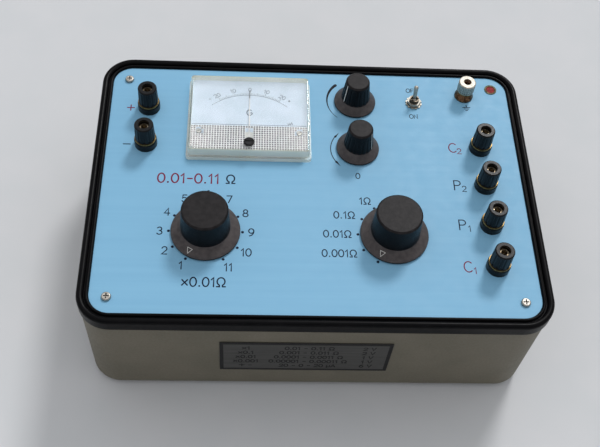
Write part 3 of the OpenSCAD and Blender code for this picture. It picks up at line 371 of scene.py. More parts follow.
def knob_plastic():
    """Black phenolic, painted lighter brown-grey where it faces up as a painted sky sheen, paler on the skirt
    than on the crown.
    """
    made = Finish("knob_plastic")
    mottle = made.noise(3.0, 4.0)
    black = made.between(mottle, srgb(8, 8, 10), srgb(15, 14, 16))
    skirt = made.between(mottle, srgb(76, 71, 71), srgb(90, 84, 83))
    crown = made.between(mottle, srgb(28, 26, 27), srgb(40, 37, 38))
    change = PANEL_TOP + CROWN_START
    upward_painted_sheen = made.mix(made.along("Z", change, change + 1), skirt, crown)
    # Painted sheen: faces that point up get the lighter skirt or crown tone in place of a sky reflection
    made.link(made.mix(made.facing_up(0.3, 0.6), black, upward_painted_sheen), "Base Color")
    made.link(made.spread(made.noise(1.0, 3.0), 0.36, 0.5), "Roughness")
    made.bump(made.noise(0.35), 0.01, 0.4)
    made.set(Specular_IOR_Level=0.14)
    return made.material


def ground_bronze():
    """Dark oxidised bronze, rubbed bright in the plug socket."""
    made = Finish("ground_bronze")
    socket = made.along("Z", PANEL_TOP + 5.4, PANEL_TOP + 5.8)
    dark = made.between(made.noise(2.2, 4.0), srgb(70, 48, 34), srgb(142, 108, 80))
    bright = made.between(made.noise(1.2), srgb(196, 150, 122), srgb(222, 184, 156))
    made.link(made.mix(socket, dark, bright), "Base Color")
    made.link(made.spread(made.noise(0.8), 0.22, 0.4), "Roughness")
    made.bump(made.noise(0.25), 0.005, 0.2)
    made.set(Metallic=1.0)
    return made.material


MATERIALS = {
    # The case is cream plastic; this darker tone is partly painted shade for the front, which faces away from
    # the lamp
    "case_plastic": finish(
        "case_plastic", srgb(100, 95, 80), srgb(108, 102, 87), 22.0, (0.5, 0.66), 0.5, 0.03, 0.4),
    "rim_plastic": finish(
        "rim_plastic", srgb(6, 6, 8), srgb(11, 10, 12), 9.0, (0.28, 0.4), 0.6, 0.01,
        Specular_IOR_Level=0.08),
    "panel_paint": panel_paint(),
    "plated_steel": grimy_metal("plated_steel", srgb(168, 163, 154), srgb(196, 192, 184), (0.36, 0.5)),
    "seal_metal": metal("seal_metal", srgb(52, 52, 40), srgb(92, 86, 68), (0.45, 0.6), 1.2),
    "seal_wax": finish(
        "seal_wax", srgb(122, 24, 28), srgb(160, 44, 46), 1.6, (0.45, 0.65), 0.9, 0.12, 0.5,
        Specular_IOR_Level=0.2),
    # The plate is silver-grey aluminium; this darker tone is partly painted shade for its front, which faces
    # away from the lamp
    "plate_metal": finish(
        "plate_metal", srgb(60, 59, 57), srgb(74, 73, 70), 0.6, (0.36, 0.5), 0.3, 0.005, 0.15,
        (0.03, 1, 1), Metallic=0.4),
    "foot_rubber": finish(
        "foot_rubber", srgb(26, 26, 27), srgb(38, 38, 38), 3.0, (0.75, 0.9), 0.6, 0.05),
    "meter_moulding": finish(
        "meter_moulding", srgb(212, 210, 204), srgb(226, 224, 218), 6.0, (0.4, 0.55), 0.5, 0.01),
    "clear_plastic": clear_plastic(),
    "dial_card": finish(
        "dial_card", srgb(202, 215, 230), srgb(207, 219, 234), 9.0, (0.55, 0.7), 0.3, 0.004, 0.0),
    "frosted_plastic": band_plastic(),
    "magnet_iron": metal("magnet_iron", srgb(60, 60, 64), srgb(88, 88, 92), (0.4, 0.6), 2.0),
    "copper_winding": finish(
        "copper_winding", srgb(132, 66, 36), srgb(176, 100, 58), 0.4, (0.3, 0.45), 0.15, 0.03, 0.1,
        (0.2, 0.2, 1), Metallic=0.8),
    "resistor_winding": finish(
        "resistor_winding", srgb(104, 56, 32), srgb(142, 84, 50), 0.5, (0.3, 0.5), 0.2, 0.04, 0.1,
        (0.2, 0.2, 1)),
    "pointer_black": pointer_paint(),
    "brass": metal("brass", srgb(112, 88, 50), srgb(176, 146, 92), (0.3, 0.46)),
    "bronze": ground_bronze(),
    "tinned_brass": metal("tinned_brass", srgb(186, 180, 166), srgb(214, 208, 194), (0.25, 0.45), 1.2),
    "knob_plastic": knob_plastic(),
    "post_plastic": finish(
        "post_plastic", srgb(8, 9, 11), srgb(16, 17, 20), 2.5, (0.28, 0.42), 0.3, 0.01, 0.3,
        Specular_IOR_Level=0.22),
    "adjuster_plastic": finish(
        "adjuster_plastic", srgb(8, 8, 10), srgb(16, 16, 18), 1.5, (0.12, 0.22), 0.4, 0.004, 0.4),
    "board_green": finish(
        "board_green", srgb(40, 92, 46), srgb(58, 118, 62), 5.0, (0.35, 0.5), 0.4, 0.02),
    "switch_laminate": finish(
        "switch_laminate", srgb(84, 56, 34), srgb(114, 80, 52), 1.0, (0.4, 0.6), 0.3, 0.02, 0.1,
        (1, 1, 6)),
    "shaft_metal": metal(
        "shaft_metal", srgb(172, 168, 156), srgb(204, 200, 188), (0.22, 0.4), 1.0, 0.2, (1, 1, 8)),
    "pot_can": metal("pot_can", srgb(150, 148, 140), srgb(182, 179, 170), (0.3, 0.5), 2.0),
    "nickel": grimy_metal("nickel", srgb(170, 166, 156), srgb(206, 201, 190), (0.5, 0.6)),
    "switch_moulding": toggle_block(),
    "tray_plastic": finish(
        "tray_plastic", srgb(28, 28, 30), srgb(42, 42, 44), 3.0, (0.45, 0.6), 0.5, 0.02),
    "cell_jacket": finish(
        "cell_jacket", srgb(116, 124, 136), srgb(142, 150, 162), 4.0, (0.25, 0.4), 0.5, 0.004),
}
NODE_MATERIALS = {"post_studs": stud_brass()}
for part in frame["record"]["subparts"]:
    worn = frame["nodes"][part["node"]].data.materials
    worn.clear()
    worn.append(NODE_MATERIALS.get(part["node"], MATERIALS[part["material_slot"]]))


def ink(name, red, green, blue):
    """Screen-printed ink: a slightly uneven, satin film."""
    pale = srgb(min(red + 14, 255), min(green + 14, 255), min(blue + 14, 255))
    return finish(
        name, srgb(red, green, blue), pale, 0.7, (0.5, 0.65), 0.15, 0.003, 0.0, Specular_IOR_Level=0.15)


NAVY = ink("ink_navy", 10, 24, 48)
DARK = ink("ink_dark", 18, 22, 32)
RED = ink("ink_red", 118, 28, 58)
WHITE = ink("ink_white", 214, 212, 206)
DIAL_GREY = ink("ink_dial", 62, 68, 80)
PLATE_INK = ink("ink_plate", 24, 23, 24)

# Strokes, drawn flat in millimetres


def arc(x, y, wide, high, start, end, steps=16):
    """Points along an ellipse, angles in degrees anticlockwise from the right."""
    turns = [math.radians(start + (end - start) * i / steps) for i in range(steps + 1)]
    return [(x + wide * math.cos(t), y + high * math.sin(t)) for t in turns]


def ring(x, y, wide, high):
    return arc(x, y, wide, high, 90, 450, 28)


# Letter shapes one unit high: the width, then the strokes; W stands for the ohm sign
GLYPHS = {
    " ": (0.3, []),
    "0": (0.62, [ring(0.31, 0.5, 0.31, 0.5)]),
    "1": (0.36, [[(0.04, 0.76), (0.26, 1.0), (0.26, 0.0)]]),
    "2": (0.6, [arc(0.3, 0.71, 0.29, 0.29, 165, -38) + [(0.0, 0.0), (0.6, 0.0)]]),
    "3": (0.6, [arc(0.28, 0.75, 0.26, 0.25, 150, -90) + arc(0.28, 0.26, 0.31, 0.26, 82, -150)]),
    "4": (0.64, [[(0.46, 0.0), (0.46, 1.0), (0.0, 0.3), (0.64, 0.3)]]),
    "5": (0.6, [[(0.55, 1.0), (0.1, 1.0), (0.05, 0.52)] + arc(0.28, 0.32, 0.31, 0.32, 130, -150)]),
    "6": (0.6, [arc(0.55, 0.32, 0.55, 0.68, 95, 180) + arc(0.3, 0.31, 0.3, 0.31, 170, -180, 24)]),
    "7": (0.6, [[(0.0, 1.0), (0.6, 1.0), (0.2, 0.0)]]),
    "8": (0.6, [ring(0.3, 0.75, 0.24, 0.25), ring(0.3, 0.25, 0.3, 0.25)]),
    "9": (0.6, [arc(0.05, 0.68, 0.55, 0.68, -85, 0) + arc(0.3, 0.69, 0.3, 0.31, -10, 360, 24)]),
    ".": (0.2, [ring(0.1, 0.05, 0.02, 0.02)]),
    "-": (0.5, [[(0.05, 0.48), (0.45, 0.48)]]),
    "+": (0.8, [[(0.0, 0.5), (0.8, 0.5)], [(0.4, 0.1), (0.4, 0.9)]]),
    "x": (0.62, [[(0.04, 0.12), (0.58, 0.72)], [(0.04, 0.72), (0.58, 0.12)]]),
    "W": (0.84, [[(0.0, 0.0), (0.27, 0.0)] + arc(0.42, 0.57, 0.38, 0.43, 246, -66, 24)
                 + [(0.57, 0.0), (0.84, 0.0)]]),
    "C": (0.66, [arc(0.38, 0.5, 0.38, 0.5, 48, 312, 22)]),
    "G": (0.74, [arc(0.38, 0.5, 0.38, 0.5, 48, 345, 24) + [(0.745, 0.46), (0.42, 0.46)]]),
    "P": (0.56, [[(0.0, 0.0), (0.0, 1.0)] + arc(0.28, 0.74, 0.28, 0.26, 90, -90) + [(0.0, 0.48)]]),
    "O": (0.76, [ring(0.38, 0.5, 0.38, 0.5)]),
    "N": (0.6, [[(0.0, 0.0), (0.0, 1.0), (0.6, 0.0), (0.6, 1.0)]]),
    "F": (0.5, [[(0.5, 1.0), (0.0, 1.0), (0.0, 0.0)], [(0.0, 0.52), (0.42, 0.52)]]),
    "A": (0.7, [[(0.0, 0.0), (0.35, 1.0), (0.7, 0.0)], [(0.13, 0.34), (0.57, 0.34)]]),
    "V": (0.66, [[(0.0, 1.0), (0.33, 0.0), (0.66, 1.0)]]),
    "u": (0.5, [[(0.0, 0.66), (0.0, -0.28)],
                [(0.0, 0.2)] + arc(0.24, 0.2, 0.24, 0.2, 180, 360) + [(0.48, 0.66)]]),
}
GLYPH_GAP = 0.2


def write(words, height, x, y, weight=STROKE):
    """Strokes of a line of text centred on a point, each with its width."""
    total = sum(GLYPHS[c][0] + GLYPH_GAP for c in words) - GLYPH_GAP
    left = x - total * height / 2
    strokes = []
    for c in words:
        wide, shapes = GLYPHS[c]
        for shape in shapes:
            points = [(left + px * height, y + (py - 0.5) * height) for px, py in shape]
            strokes.append((points, height * weight))
        left += (wide + GLYPH_GAP) * height
    return strokes


def turned(strokes, place, angle):
    """Strokes turned about the origin, anticlockwise in degrees, and moved to a place."""
    spin = Matrix.Rotation(math.radians(angle), 2)
    return [([tuple(spin @ Vector(p) + Vector(place)) for p in points], width) for points, width in strokes]


def add_stroke(bm, points, width, lift):
    """Adds one flat stroke with round ends; width is a number or a function of the way along it."""
    least_cosine, longest_mitre = 0.4, 1.7
    points = [Vector(p) for p in points]
    closed = (points[0] - points[-1]).length < 1e-6
    if closed:
        points.pop()
    count = len(points)
    pairs = []
    for i, p in enumerate(points):
        before = points[i - 1] if closed or i else None
        after = points[(i + 1) % count] if closed or i < count - 1 else None
        came = (p - before).normalized() if before else (after - p).normalized()
        goes = (after - p).normalized() if after else came
        along = (came + goes).normalized()
        mitre = min(1 / max(along.dot(came), least_cosine), longest_mitre)
        wide = width(i / (count - 1)) if callable(width) else width
        half = Vector((-along.y, along.x)) * wide / 2 * mitre
        pairs.append([bm.verts.new((q.x, q.y, lift)) for q in (p + half, p - half)])
    spans = list(zip(pairs, pairs[1:]))
    if closed:
        spans.append((pairs[-1], pairs[0]))
    for (a, b), (c, d) in spans:
        bm.faces.new((a, b, d, c))
    if not closed:
        add_round_end(bm, points[0], *pairs[0], lift)
        add_round_end(bm, points[-1], *reversed(pairs[-1]), lift)


def add_round_end(bm, centre, first, last, lift, steps=5):
    """Adds the half-round end of a stroke, from its first corner round to its last."""
    arm = Vector((first.co.x, first.co.y)) - centre
    verts = [first]
    for i in range(1, steps):
        q = centre + Matrix.Rotation(math.pi * i / steps, 2) @ arm
        verts.append(bm.verts.new((q.x, q.y, lift)))
    bm.faces.new(verts + [last])


def add_disc(bm, x, y, radius):
    bm.faces.new([bm.verts.new((px, py, INK_DEPTH)) for px, py in arc(x, y, radius, radius, 0, 360, 24)[:-1]])


def thicken(bm):
    """Gives flat faces walls and an underside at height zero."""
    for face in bm.faces:
        face.normal_update()
        if face.normal.z < 0:
            face.normal_flip()
    made = bmesh.ops.extrude_face_region(bm, geom=bm.faces[:], use_keep_orig=True)["geom"]
    for item in made:
        if isinstance(item, bmesh.types.BMVert):
            item.co.z = 0.0
    bmesh.ops.recalc_face_normals(bm, faces=bm.faces[:])


def stroke_mesh(strokes):
    """Mesh of thin slabs for a list of strokes; each lies a hair higher than the one before."""
    bm = bmesh.new()
    for i, (points, width) in enumerate(strokes):
        add_stroke(bm, points, width, INK_DEPTH * (1 + INK_STEP * i))
    thicken(bm)
    return bm


# Pieces


def make_piece(name, bm, material, body, matrix=Matrix.Identity(4)):
    """Turns a mesh in millimetres into a piece that rides on a body."""
    bm.transform(Matrix.Scale(MM, 4) @ matrix)
    mesh = bpy.data.meshes.new(name)
    bm.to_mesh(mesh)
    bm.free()
    mesh.materials.append(material)
    piece = bpy.data.objects.new(name, mesh)
    bpy.context.scene.collection.objects.link(piece)
    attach(piece, body)
    return piece


ON_PANEL = Matrix.Translation((0, 0, PANEL_TOP))
ON_DIAL = Matrix.Translation((0, 0, DIAL_TOP))


def print_on_panel(name, strokes, material):
    make_piece(name, stroke_mesh(strokes), material, "case", ON_PANEL)


def dial_point(place, radius, angle):
    """Point at a dial angle, clockwise from the back."""
    turn = math.radians(angle)
    return place.x + radius * math.sin(turn), place.y + radius * math.cos(turn)


def print_dials():
    """Dots, numbers and values round the two step dials."""
    decade, ratio = middle("decade_knob"), middle("ratio_knob")
    second_digit_room = 0.9
    factor_height, factor_right, factor_drop = 6.0, 0.1, 34.9
    range_height, range_left, ohm_height, ohm_right, range_rise = 7.0, 12.2, 6.4, 14.2, 39.2
    value_height = 4.9
    value_places = (
        ("0.001W", -34.2, -13.7),
        ("0.01W", -34.9, 0.1),
        ("0.1W", -30.1, 14.0),
        ("1W", -16.7, 24.8),
    )
    bm = bmesh.new()
    for place, steps in ((decade, DECADE_STEPS), (ratio, RATIO_STEPS)):
        for i in range(steps):
            add_disc(bm, *dial_point(place, DOT_CIRCLE, FIRST_STEP + i * STEP_ANGLE), DOT_RADIUS)
    thicken(bm)
    make_piece("step_dots", bm, NAVY, "case", ON_PANEL)
    numbers = []
    for i in range(DECADE_STEPS):
        words = str(i + 1)
        radius = DIGIT_CIRCLE + second_digit_room * (len(words) - 1)
        numbers += write(words, DIGIT_HEIGHT, *dial_point(decade, radius, FIRST_STEP + i * STEP_ANGLE))
    print_on_panel("decade_numbers", numbers, NAVY)
    values = write("x0.01W", factor_height, decade.x + factor_right, decade.y - factor_drop)
    for words, x, y in value_places:
        values += write(words, value_height, ratio.x + x, ratio.y + y)
    values += write("W", ohm_height, decade.x + ohm_right, decade.y + range_rise)
    print_on_panel("ohm_values", values, NAVY)
    ohm_range = write("0.01-0.11", range_height, decade.x - range_left, decade.y + range_rise)
    print_on_panel("range_line", ohm_range, RED)


def print_terminals():
    """Letters beside the terminals and the ground sign."""
    letter_height, letter_weight, letter_left, letter_drop = 7.2, 0.1, 18.1, 0.2
    number_height, number_weight, number_left, number_drop = 4.2, 0.13, 13.9, 2.8
    plus_height, plus_weight, minus_half, minus_line = 5.6, 0.13, 2.2, 0.7
    ground_right, ground_drop, ground_line = 0.9, 10.8, 0.6
    reds, navies = [], []
    for cap, letter, number, strokes in (
        ("c2_cap", "C", "2", reds),
        ("p2_cap", "P", "2", navies),
        ("p1_cap", "P", "1", navies),
        ("c1_cap", "C", "1", reds),
    ):
        place = middle(cap)
        strokes += write(letter, letter_height, place.x - letter_left, place.y - letter_drop, letter_weight)
        strokes += write(number, number_height, place.x - number_left, place.y - number_drop, number_weight)
    plus, minus, ground = middle("plus_cap"), middle("minus_cap"), middle("ground_cap")
    reds += write("+", plus_height, plus.x - 11.9, plus.y - 0.8, plus_weight)
    x, y = minus.x - 12.1, minus.y - 0.9
    navies.append(([(x - minus_half, y), (x + minus_half, y)], minus_line))
    x, y = ground.x + ground_right, ground.y - ground_drop
    navies.append(([(x, y + 2.4), (x, y + 0.6)], ground_line))
    for half, rise in ((2.4, 0.6), (1.5, -0.7), (0.6, -2.0)):
        navies.append(([(x - half, y + rise), (x + half, y + rise)], ground_line))
    print_on_panel("terminal_marks_red", reds, RED)
    print_on_panel("terminal_marks_navy", navies, NAVY)


def print_controls():
    """Swept wedge and double arrow beside the trimmers, and the switch's words."""
    gain, zero, toggle = middle("gain_knob"), middle("zero_knob"), middle("toggle_nut")
    wedge_radius, arrow_radius, arrow_line, head_length = 18.6, 17.7, 0.55, 1.3
    zero_height, zero_drop, word_height = 4.2, 21.5, 3.4
    wedge = arc(gain.x, gain.y + 0.9, wedge_radius, wedge_radius, 132, 229, 30)
    strokes = [(wedge, lambda t: 0.3 + 1.9 * (1 - t) ** 1.6)]
    double = arc(zero.x + 0.2, zero.y - 0.5, arrow_radius, arrow_radius, 136, 224, 26)
    strokes.append((double, arrow_line))
    for tip, tail in ((double[0], double[4]), (double[-1], double[-5])):
        ahead = (Vector(tip) - Vector(tail)).normalized() * head_length
        head = [Vector(tip) - 2 * ahead, Vector(tip) - ahead, Vector(tip) + ahead]
        strokes.append((head, lambda t: 0.15 + 1.4 * (1 - t)))
    strokes += write("0", zero_height, zero.x - 0.8, zero.y - zero_drop)
    strokes += write("ON", word_height, toggle.x - 1.0, toggle.y - 11.5)
    strokes += write("OFF", word_height, toggle.x - 0.5, toggle.y + 11.0)
    print_on_panel("control_marks", strokes, DARK)


def print_meter():
    """Scale arc, divisions, numbers and signs on the meter's dial."""
    pivot = middle("meter_coil")
    arc_line, division_line, short, medium, long = 0.25, 0.22, 1.5, 2.3, 3.0
    number_height, number_weight, sign_angle, letter_rise = 2.9, 0.12, 38, 22.6
    divider_gap, divider_inset, divider_line = 2.8, 0.5, 0.3
    scale_angles = range(-SCALE_REACH, SCALE_REACH + 1, 2)
    strokes = [([dial_point(pivot, SCALE_RADIUS, angle) for angle in scale_angles], arc_line)]
    for i in range(-20, 21):
        length = long if i % 10 == 0 else medium if i % 5 == 0 else short
        ends = [dial_point(pivot, SCALE_RADIUS + reach, i * DIVISION) for reach in (0, length)]
        strokes.append((ends, division_line))
    for number in (-20, -10, 0, 10, 20):
        angle = number * DIVISION
        digits = write(str(abs(number)), number_height, 0, 0, number_weight)
        strokes += turned(digits, dial_point(pivot, NUMBER_RADIUS, angle), -angle)
    strokes += write("+", 2.0, *dial_point(pivot, NUMBER_RADIUS, sign_angle), 0.2)
    strokes += write("-", 3.0, *dial_point(pivot, NUMBER_RADIUS, -sign_angle), 0.14)
    strokes += write("G", 4.6, pivot.x, pivot.y + letter_rise, 0.12)
    low, high = (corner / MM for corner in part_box("meter_dial"))
    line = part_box("meter_apron")[1].y / MM + divider_gap
    strokes += write("uA", 2.2, high.x - 10.8, line + 1.9, 0.15)
    strokes.append(([(low.x + divider_inset, line), (high.x - divider_inset, line)], divider_line))
    make_piece("meter_scale", stroke_mesh(strokes), DIAL_GREY, "case", ON_DIAL)


def print_plate():
    """Border and rows of plain values on the front plate."""
    low, high = (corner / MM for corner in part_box("data_plate"))
    place = Vector(((low.x + high.x) / 2, low.y, (low.z + high.z) / 2))
    facing = Matrix.Translation(place) @ Matrix.Rotation(math.radians(90), 4, "X")
    inset, margin, letters, weight, border = 1.2, 2.6, 3.7, 0.2, 2.2
    first_column, last_column = 24.0, 20.0
    x, y = (high.x - low.x) / 2 - inset, (high.z - low.z) / 2 - inset
    strokes = [([(-x, -y), (x, -y), (x, y), (-x, y), (-x, -y)], border)]
    rows = (
        ("x1", "0.01 - 0.11 W", "2 V"),
        ("x0.1", "0.001 - 0.011 W", "2 V"),
        ("x0.01", "0.0001 - 0.0011 W", "1 V"),
        ("x0.001", "0.00001 - 0.00011 W", "1 V"),
        ("+ -", "20 - 0 - 20 uA", "6 V"),
    )
    columns = (margin - x, margin - x + first_column, x - margin - last_column, x - margin)
    row_height = 2 * (y - margin) / len(rows)
    for i, row in enumerate(rows):
        level = y - margin - (i + 0.5) * row_height
        for words, left, right in zip(row, columns, columns[1:]):
            strokes += write(words, letters, (left + right) / 2, level, weight)
    make_piece("plate_values", stroke_mesh(strokes), PLATE_INK, "case", facing)


def lay_on(bm, node, aim):
    """Drops each point of a mesh onto a node's surface; aim gives the ray that finds its place."""
    surface = frame["nodes"][node]
    for vert in bm.verts:
        start, way = aim(vert.co)
        place = surface.ray_cast(start * MM, way)[1]
        vert.co = place / MM - way * vert.co.z


def mark_dial_knob(node, body):
    """White triangle on a dial knob's skirt, pointing at the first step."""
    place, steps = middle(node), 8
    foot, apex, half, line = 17.1, 19.9, 5.6, 0.28
    above = top(node) + 10
    corners = []
    for radius, angle in ((foot, -half), (apex, 0), (foot, half)):
        corners.append(dial_point(place, radius, FIRST_STEP + angle))
    outline = []
    for start, end in zip(corners, corners[1:] + corners[:1]):
        outline += [Vector(start).lerp(Vector(end), i / steps) for i in range(steps)]
    bm = stroke_mesh([(outline + outline[:1], line)])
    lay_on(bm, node, lambda co: (Vector((co.x, co.y, above)), Vector((0, 0, -1))))
    make_piece(f"{node}_pointer", bm, WHITE, body)


def mark_trimmer(node, body, angle):
    """White line up one rib of a trimmer's grip."""
    place = middle(node)
    outward = Vector((*dial_point(Vector((0, 0)), 1, angle), 0))
    across = Vector((-outward.y, outward.x, 0))
    foot, below_crown, line, steps, outside = 6.6, 1.2, 0.6, 14, 30
    low, high = PANEL_TOP + foot, top(node) - below_crown
    bm = stroke_mesh([([(0, low + (high - low) * i / steps) for i in range(steps + 1)], line)])
    start = Vector((place.x, place.y, 0)) + outward * outside
    lay_on(bm, node, lambda co: (start + across * co.x + Vector((0, 0, co.y)), -outward))
    make_piece(f"{node}_line", bm, WHITE, body)


# The meter's clear cover, stippled band and dial screws


def rounded_loop(wide, deep, radius, level, corner_steps=6):
    """Round-cornered outline about the origin, anticlockwise from the right."""
    loop = []
    for corner, (sx, sy) in enumerate(((1, 1), (-1, 1), (-1, -1), (1, -1))):
        x, y = sx * (wide / 2 - radius), sy * (deep / 2 - radius)
        loop += arc(x, y, radius, radius, 90 * corner, 90 * corner + 90, corner_steps)
    return [(x, y, level) for x, y in loop]


def loft(bm, loops):
    """Skins closed loops of equal length in order, and the last to the first."""
    rows = [[bm.verts.new(p) for p in loop] for loop in loops]
    for near, far in zip(rows, rows[1:] + rows[:1]):
        for i in range(len(near)):
            j = (i + 1) % len(near)
            bm.faces.new((near[i], near[j], far[j], far[i]))
    bmesh.ops.recalc_face_normals(bm, faces=bm.faces[:])


def make_cover():
    """Clear cover with rounded edges, a flange and the hole for the zero adjuster."""
    low, high = (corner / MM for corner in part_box("meter_cover"))
    wide, deep, tall = high - low
    place = Vector(((low.x + high.x) / 2, (low.y + high.y) / 2, low.z))
    step, wall, corner, soft, fillet = 1.3, 1.2, 2.0, 0.8, 0.15
    gap, hole_r = 0.06, 1.95
    neck = middle("meter_adjuster") - place
    block = (wide - 2 * step, deep - 2 * step)
    room = (block[0] - 2 * wall, block[1] - 2 * wall)

    def edge(outline, radius, level):
        """Loops of a rounded top edge."""
        for i in range(6):
            turn = math.radians(18 * i)
            inset, drop = radius * (1 - math.cos(turn)), radius * (1 - math.sin(turn))
            yield rounded_loop(outline[0] - 2 * inset, outline[1] - 2 * inset, corner - inset, level - drop)

    def hole(level):
        loop = rounded_loop(2 * hole_r, 2 * hole_r, hole_r, level)
        return [(neck.x + x, neck.y + y, z) for x, y, z in loop]

    loops = [rounded_loop(wide, deep, corner, gap)]
    loops += edge((wide, deep), soft / 2, COVER_FLANGE)
    loops.append(rounded_loop(block[0] + 2 * fillet, block[1] + 2 * fillet, corner, COVER_FLANGE))
    loops.append(rounded_loop(*block, corner, COVER_FLANGE + fillet))
    loops += edge(block, soft, tall)
    loops += [hole(tall), hole(tall - wall)]
    loops += [rounded_loop(*room, corner, tall - wall), rounded_loop(*room, corner, gap)]
    bm = bmesh.new()
    loft(bm, loops)
    bm.transform(Matrix.Translation(place))
    cover = make_piece("meter_cover_clear", bm, MATERIALS["clear_plastic"], "case")
    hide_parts("meter_cover")


def dial_screw_places():
    pivot = middle("meter_coil")
    return [(pivot.x + side * DIAL_SCREW_SPREAD, pivot.y + DIAL_SCREW_LEAD) for side in (-1, 1)]


def make_band():
    """Stippled band: rows of small pyramids, with smooth windows at the adjuster and the screws."""
    low, high = (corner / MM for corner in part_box("meter_apron"))
    pitch, tip_room = 1.66, 0.04
    seat, base, peak = low.z, low.z + BAND_BASE, high.z - tip_room
    across, rows = round((high.x - low.x) / pitch), round((high.y - low.y) / pitch)
    dx, dy = (high.x - low.x) / across, (high.y - low.y) / rows
    neck = middle("meter_adjuster")
    window_half, sight, neck_room, screw_room = 2.5, 1.7, 2.6, 0.7
    clear = [(neck.x, neck.y, neck_room)]
    clear += [(x, y - sight, DIAL_SCREW_R + screw_room) for x, y in dial_screw_places()]
    corners_left_out = {(0, 0), (across - 1, 0)}

    def kept(i, j):
        if not (0 <= i < across and 0 <= j < rows) or (i, j) in corners_left_out:
            return False
        x, y = low.x + (i + 0.5) * dx, low.y + (j + 0.5) * dy
        if abs(x - neck.x) < window_half and neck.y < y < high.y - dy:
            return False
        return all(math.hypot(x - cx, y - cy) > radius for cx, cy, radius in clear)

    bm = bmesh.new()
    made = {}

    def corner(place, level):
        if (place, level) not in made:
            made[place, level] = bm.verts.new((low.x + place[0] * dx, low.y + place[1] * dy, level))
        return made[place, level]

    for i in range(across):
        for j in range(rows):
            if not kept(i, j):
                continue
            square = ((i, j), (i + 1, j), (i + 1, j + 1), (i, j + 1))
            tip = bm.verts.new((low.x + (i + 0.5) * dx, low.y + (j + 0.5) * dy, peak))
            bm.faces.new([corner(c, seat) for c in reversed(square)])
            beside = ((i, j - 1), (i + 1, j), (i, j + 1), (i - 1, j))
            for a, b, neighbour in zip(square, square[1:] + square[:1], beside):
                bm.faces.new((corner(a, base), corner(b, base), tip))
                if not kept(*neighbour):
                    bm.faces.new((corner(a, seat), corner(b, seat), corner(b, base), corner(a, base)))
    band = make_piece("meter_band", bm, MATERIALS["frosted_plastic"], "case")
    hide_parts("meter_apron")


def make_hub_plate():
    """Thin cream ring on the dial that closes the notch round the pointer's hub."""
    pivot = middle("meter_coil")
    outer, inner, thick = 6.6, 1.5, 0.15
    section = ((outer, 0.0), (outer, thick), (inner, thick), (inner, 0.0))
    bm = bmesh.new()
    loft(bm, [rounded_loop(2 * radius, 2 * radius, radius, level) for radius, level in section])
    place = Matrix.Translation((pivot.x, pivot.y, DIAL_TOP))
    make_piece("hub_plate", bm, MATERIALS["meter_moulding"], "case", place)


def make_dial_screws():
    """Two small screws that hold the dial, their slots painted on as shade."""
    profile = ((DIAL_SCREW_R, 0.0), (DIAL_SCREW_R, 0.5), (0.85 * DIAL_SCREW_R, 0.8))
    slot_x, slot_y, slot_width = 1.1, 0.5, 0.36
    bm = bmesh.new()
    slots = []
    for x, y in dial_screw_places():
        rows = []
        for radius, rise in profile:
            circle = arc(x, y, radius, radius, 0, 360, 24)[:-1]
            rows.append([bm.verts.new((px, py, rise)) for px, py in circle])
        for near, far in zip(rows, rows[1:]):
            for i in range(len(near)):
                j = (i + 1) % len(near)
                bm.faces.new((near[i], near[j], far[j], far[i]))
        bm.faces.new(rows[-1])
        bm.faces.new(list(reversed(rows[0])))
        # Painted shade: each slot is a flat dark strip on the head, not a cut groove
        slots.append(([(x - slot_x, y - slot_y), (x + slot_x, y + slot_y)], slot_width))
    make_piece("dial_screws", bm, MATERIALS["plated_steel"], "case", ON_DIAL)
    lifted = ON_DIAL @ Matrix.Translation((0, 0, profile[-1][1]))
    make_piece("dial_screw_slot_shade", stroke_mesh(slots), DARK, "case", lifted)


print_dials()
print_terminals()
print_controls()
print_meter()
print_plate()
mark_dial_knob("decade_knob", "decade_dial")
mark_dial_knob("ratio_knob", "ratio_dial")
mark_trimmer("gain_knob", "gain_trimmer", -120)
mark_trimmer("zero_knob", "zero_trimmer", 120)
make_cover()
make_band()
make_hub_plate()
make_dial_screws()

# Studio: pale floor, soft light from above and behind, and the photograph's camera


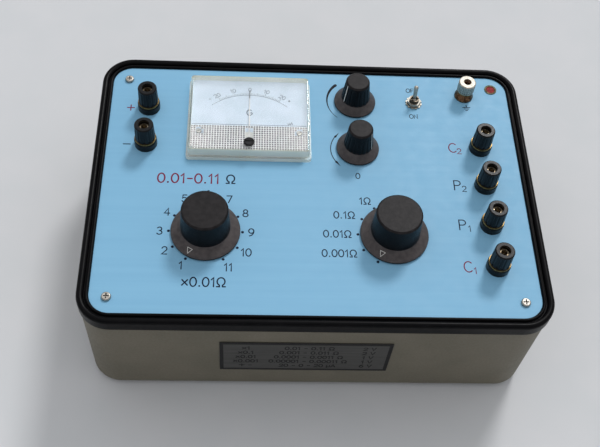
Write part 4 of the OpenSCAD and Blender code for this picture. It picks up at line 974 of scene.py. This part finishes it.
def make_floor():
    """Pale floor that curves up far away into a low wall all round, sizes in metres."""
    paper = Finish("floor")
    paper.link(paper.between(paper.noise(40.0), srgb(215, 217, 219), srgb(218, 219, 221)), "Base Color")
    paper.set(Roughness=0.85)
    reach, curve, wall, around = 5.0, 1.0, 2.0, 64
    profile = [(reach - curve, 0.0)]
    profile += [(reach + x, curve + y) for x, y in arc(0, 0, curve, curve, -90, 0, 8)]
    profile.append((reach + curve, wall))
    bm = bmesh.new()
    rings = []
    for radius, rise in profile:
        circle = arc(0, 0, radius, radius, 0, 360, around)[:-1]
        rings.append([bm.verts.new((x, y, rise)) for x, y in circle])
    bm.faces.new(rings[0])
    for near, far in zip(rings, rings[1:]):
        for i in range(around):
            j = (i + 1) % around
            bm.faces.new((near[j], near[i], far[i], far[j]))
    mesh = bpy.data.meshes.new("floor")
    bm.to_mesh(mesh)
    bm.free()
    mesh.shade_smooth()
    mesh.materials.append(paper.material)
    ground = bpy.data.objects.new("floor", mesh)
    bpy.context.scene.collection.objects.link(ground)


def make_sky():
    """Soft surround that is brightest overhead and behind."""
    world = bpy.data.worlds.new("studio")
    bpy.context.scene.world = world
    world.use_nodes = True
    nodes, links = world.node_tree.nodes, world.node_tree.links
    way = nodes.new("ShaderNodeTexCoord")
    tilt = nodes.new("ShaderNodeVectorMath")
    tilt.operation = "DOT_PRODUCT"
    tilt.inputs[1].default_value = SKY_AIM
    ramp = nodes.new("ShaderNodeValToRGB")
    ramp.color_ramp.elements[0].color = SKY_LOW
    ramp.color_ramp.elements[1].color = SKY_HIGH
    links.new(way.outputs["Generated"], tilt.inputs[0])
    links.new(tilt.outputs["Value"], ramp.inputs["Fac"])
    links.new(ramp.outputs["Color"], nodes["Background"].inputs["Color"])


def make_sun(name, aim, strength, angle):
    """Broad lamp far away; aim points from the object to the lamp."""
    lamp = bpy.data.lights.new(name, "SUN")
    lamp.energy = strength
    lamp.angle = math.radians(angle)
    holder = bpy.data.objects.new(name, lamp)
    holder.rotation_mode = "QUATERNION"
    holder.rotation_quaternion = Vector(aim).to_track_quat("Z", "Y")
    bpy.context.scene.collection.objects.link(holder)


def make_camera():
    data = bpy.data.cameras.new("camera")
    data.lens = CAMERA_LENS
    data.sensor_width = SENSOR_WIDTH
    data.sensor_fit = "HORIZONTAL"
    data.clip_start = 0.01
    camera = bpy.data.objects.new("camera", data)
    place, target = Vector(CAMERA_PLACE) * MM, Vector(CAMERA_TARGET) * MM
    forward = (target - place).normalized()
    level = forward.cross(Vector((0, 0, 1))).normalized()
    upright = level.cross(forward)
    roll = math.radians(CAMERA_ROLL)
    right = level * math.cos(roll) + upright * math.sin(roll)
    turn = Matrix((right, right.cross(forward), -forward)).transposed().to_4x4()
    camera.matrix_world = Matrix.Translation(place) @ turn
    bpy.context.scene.collection.objects.link(camera)
    bpy.context.scene.camera = camera


make_floor()
make_sky()
make_sun("key", LAMP_AIM, LAMP_STRENGTH, LAMP_ANGLE)
make_camera()
bpy.context.scene.view_settings.view_transform = "Standard"
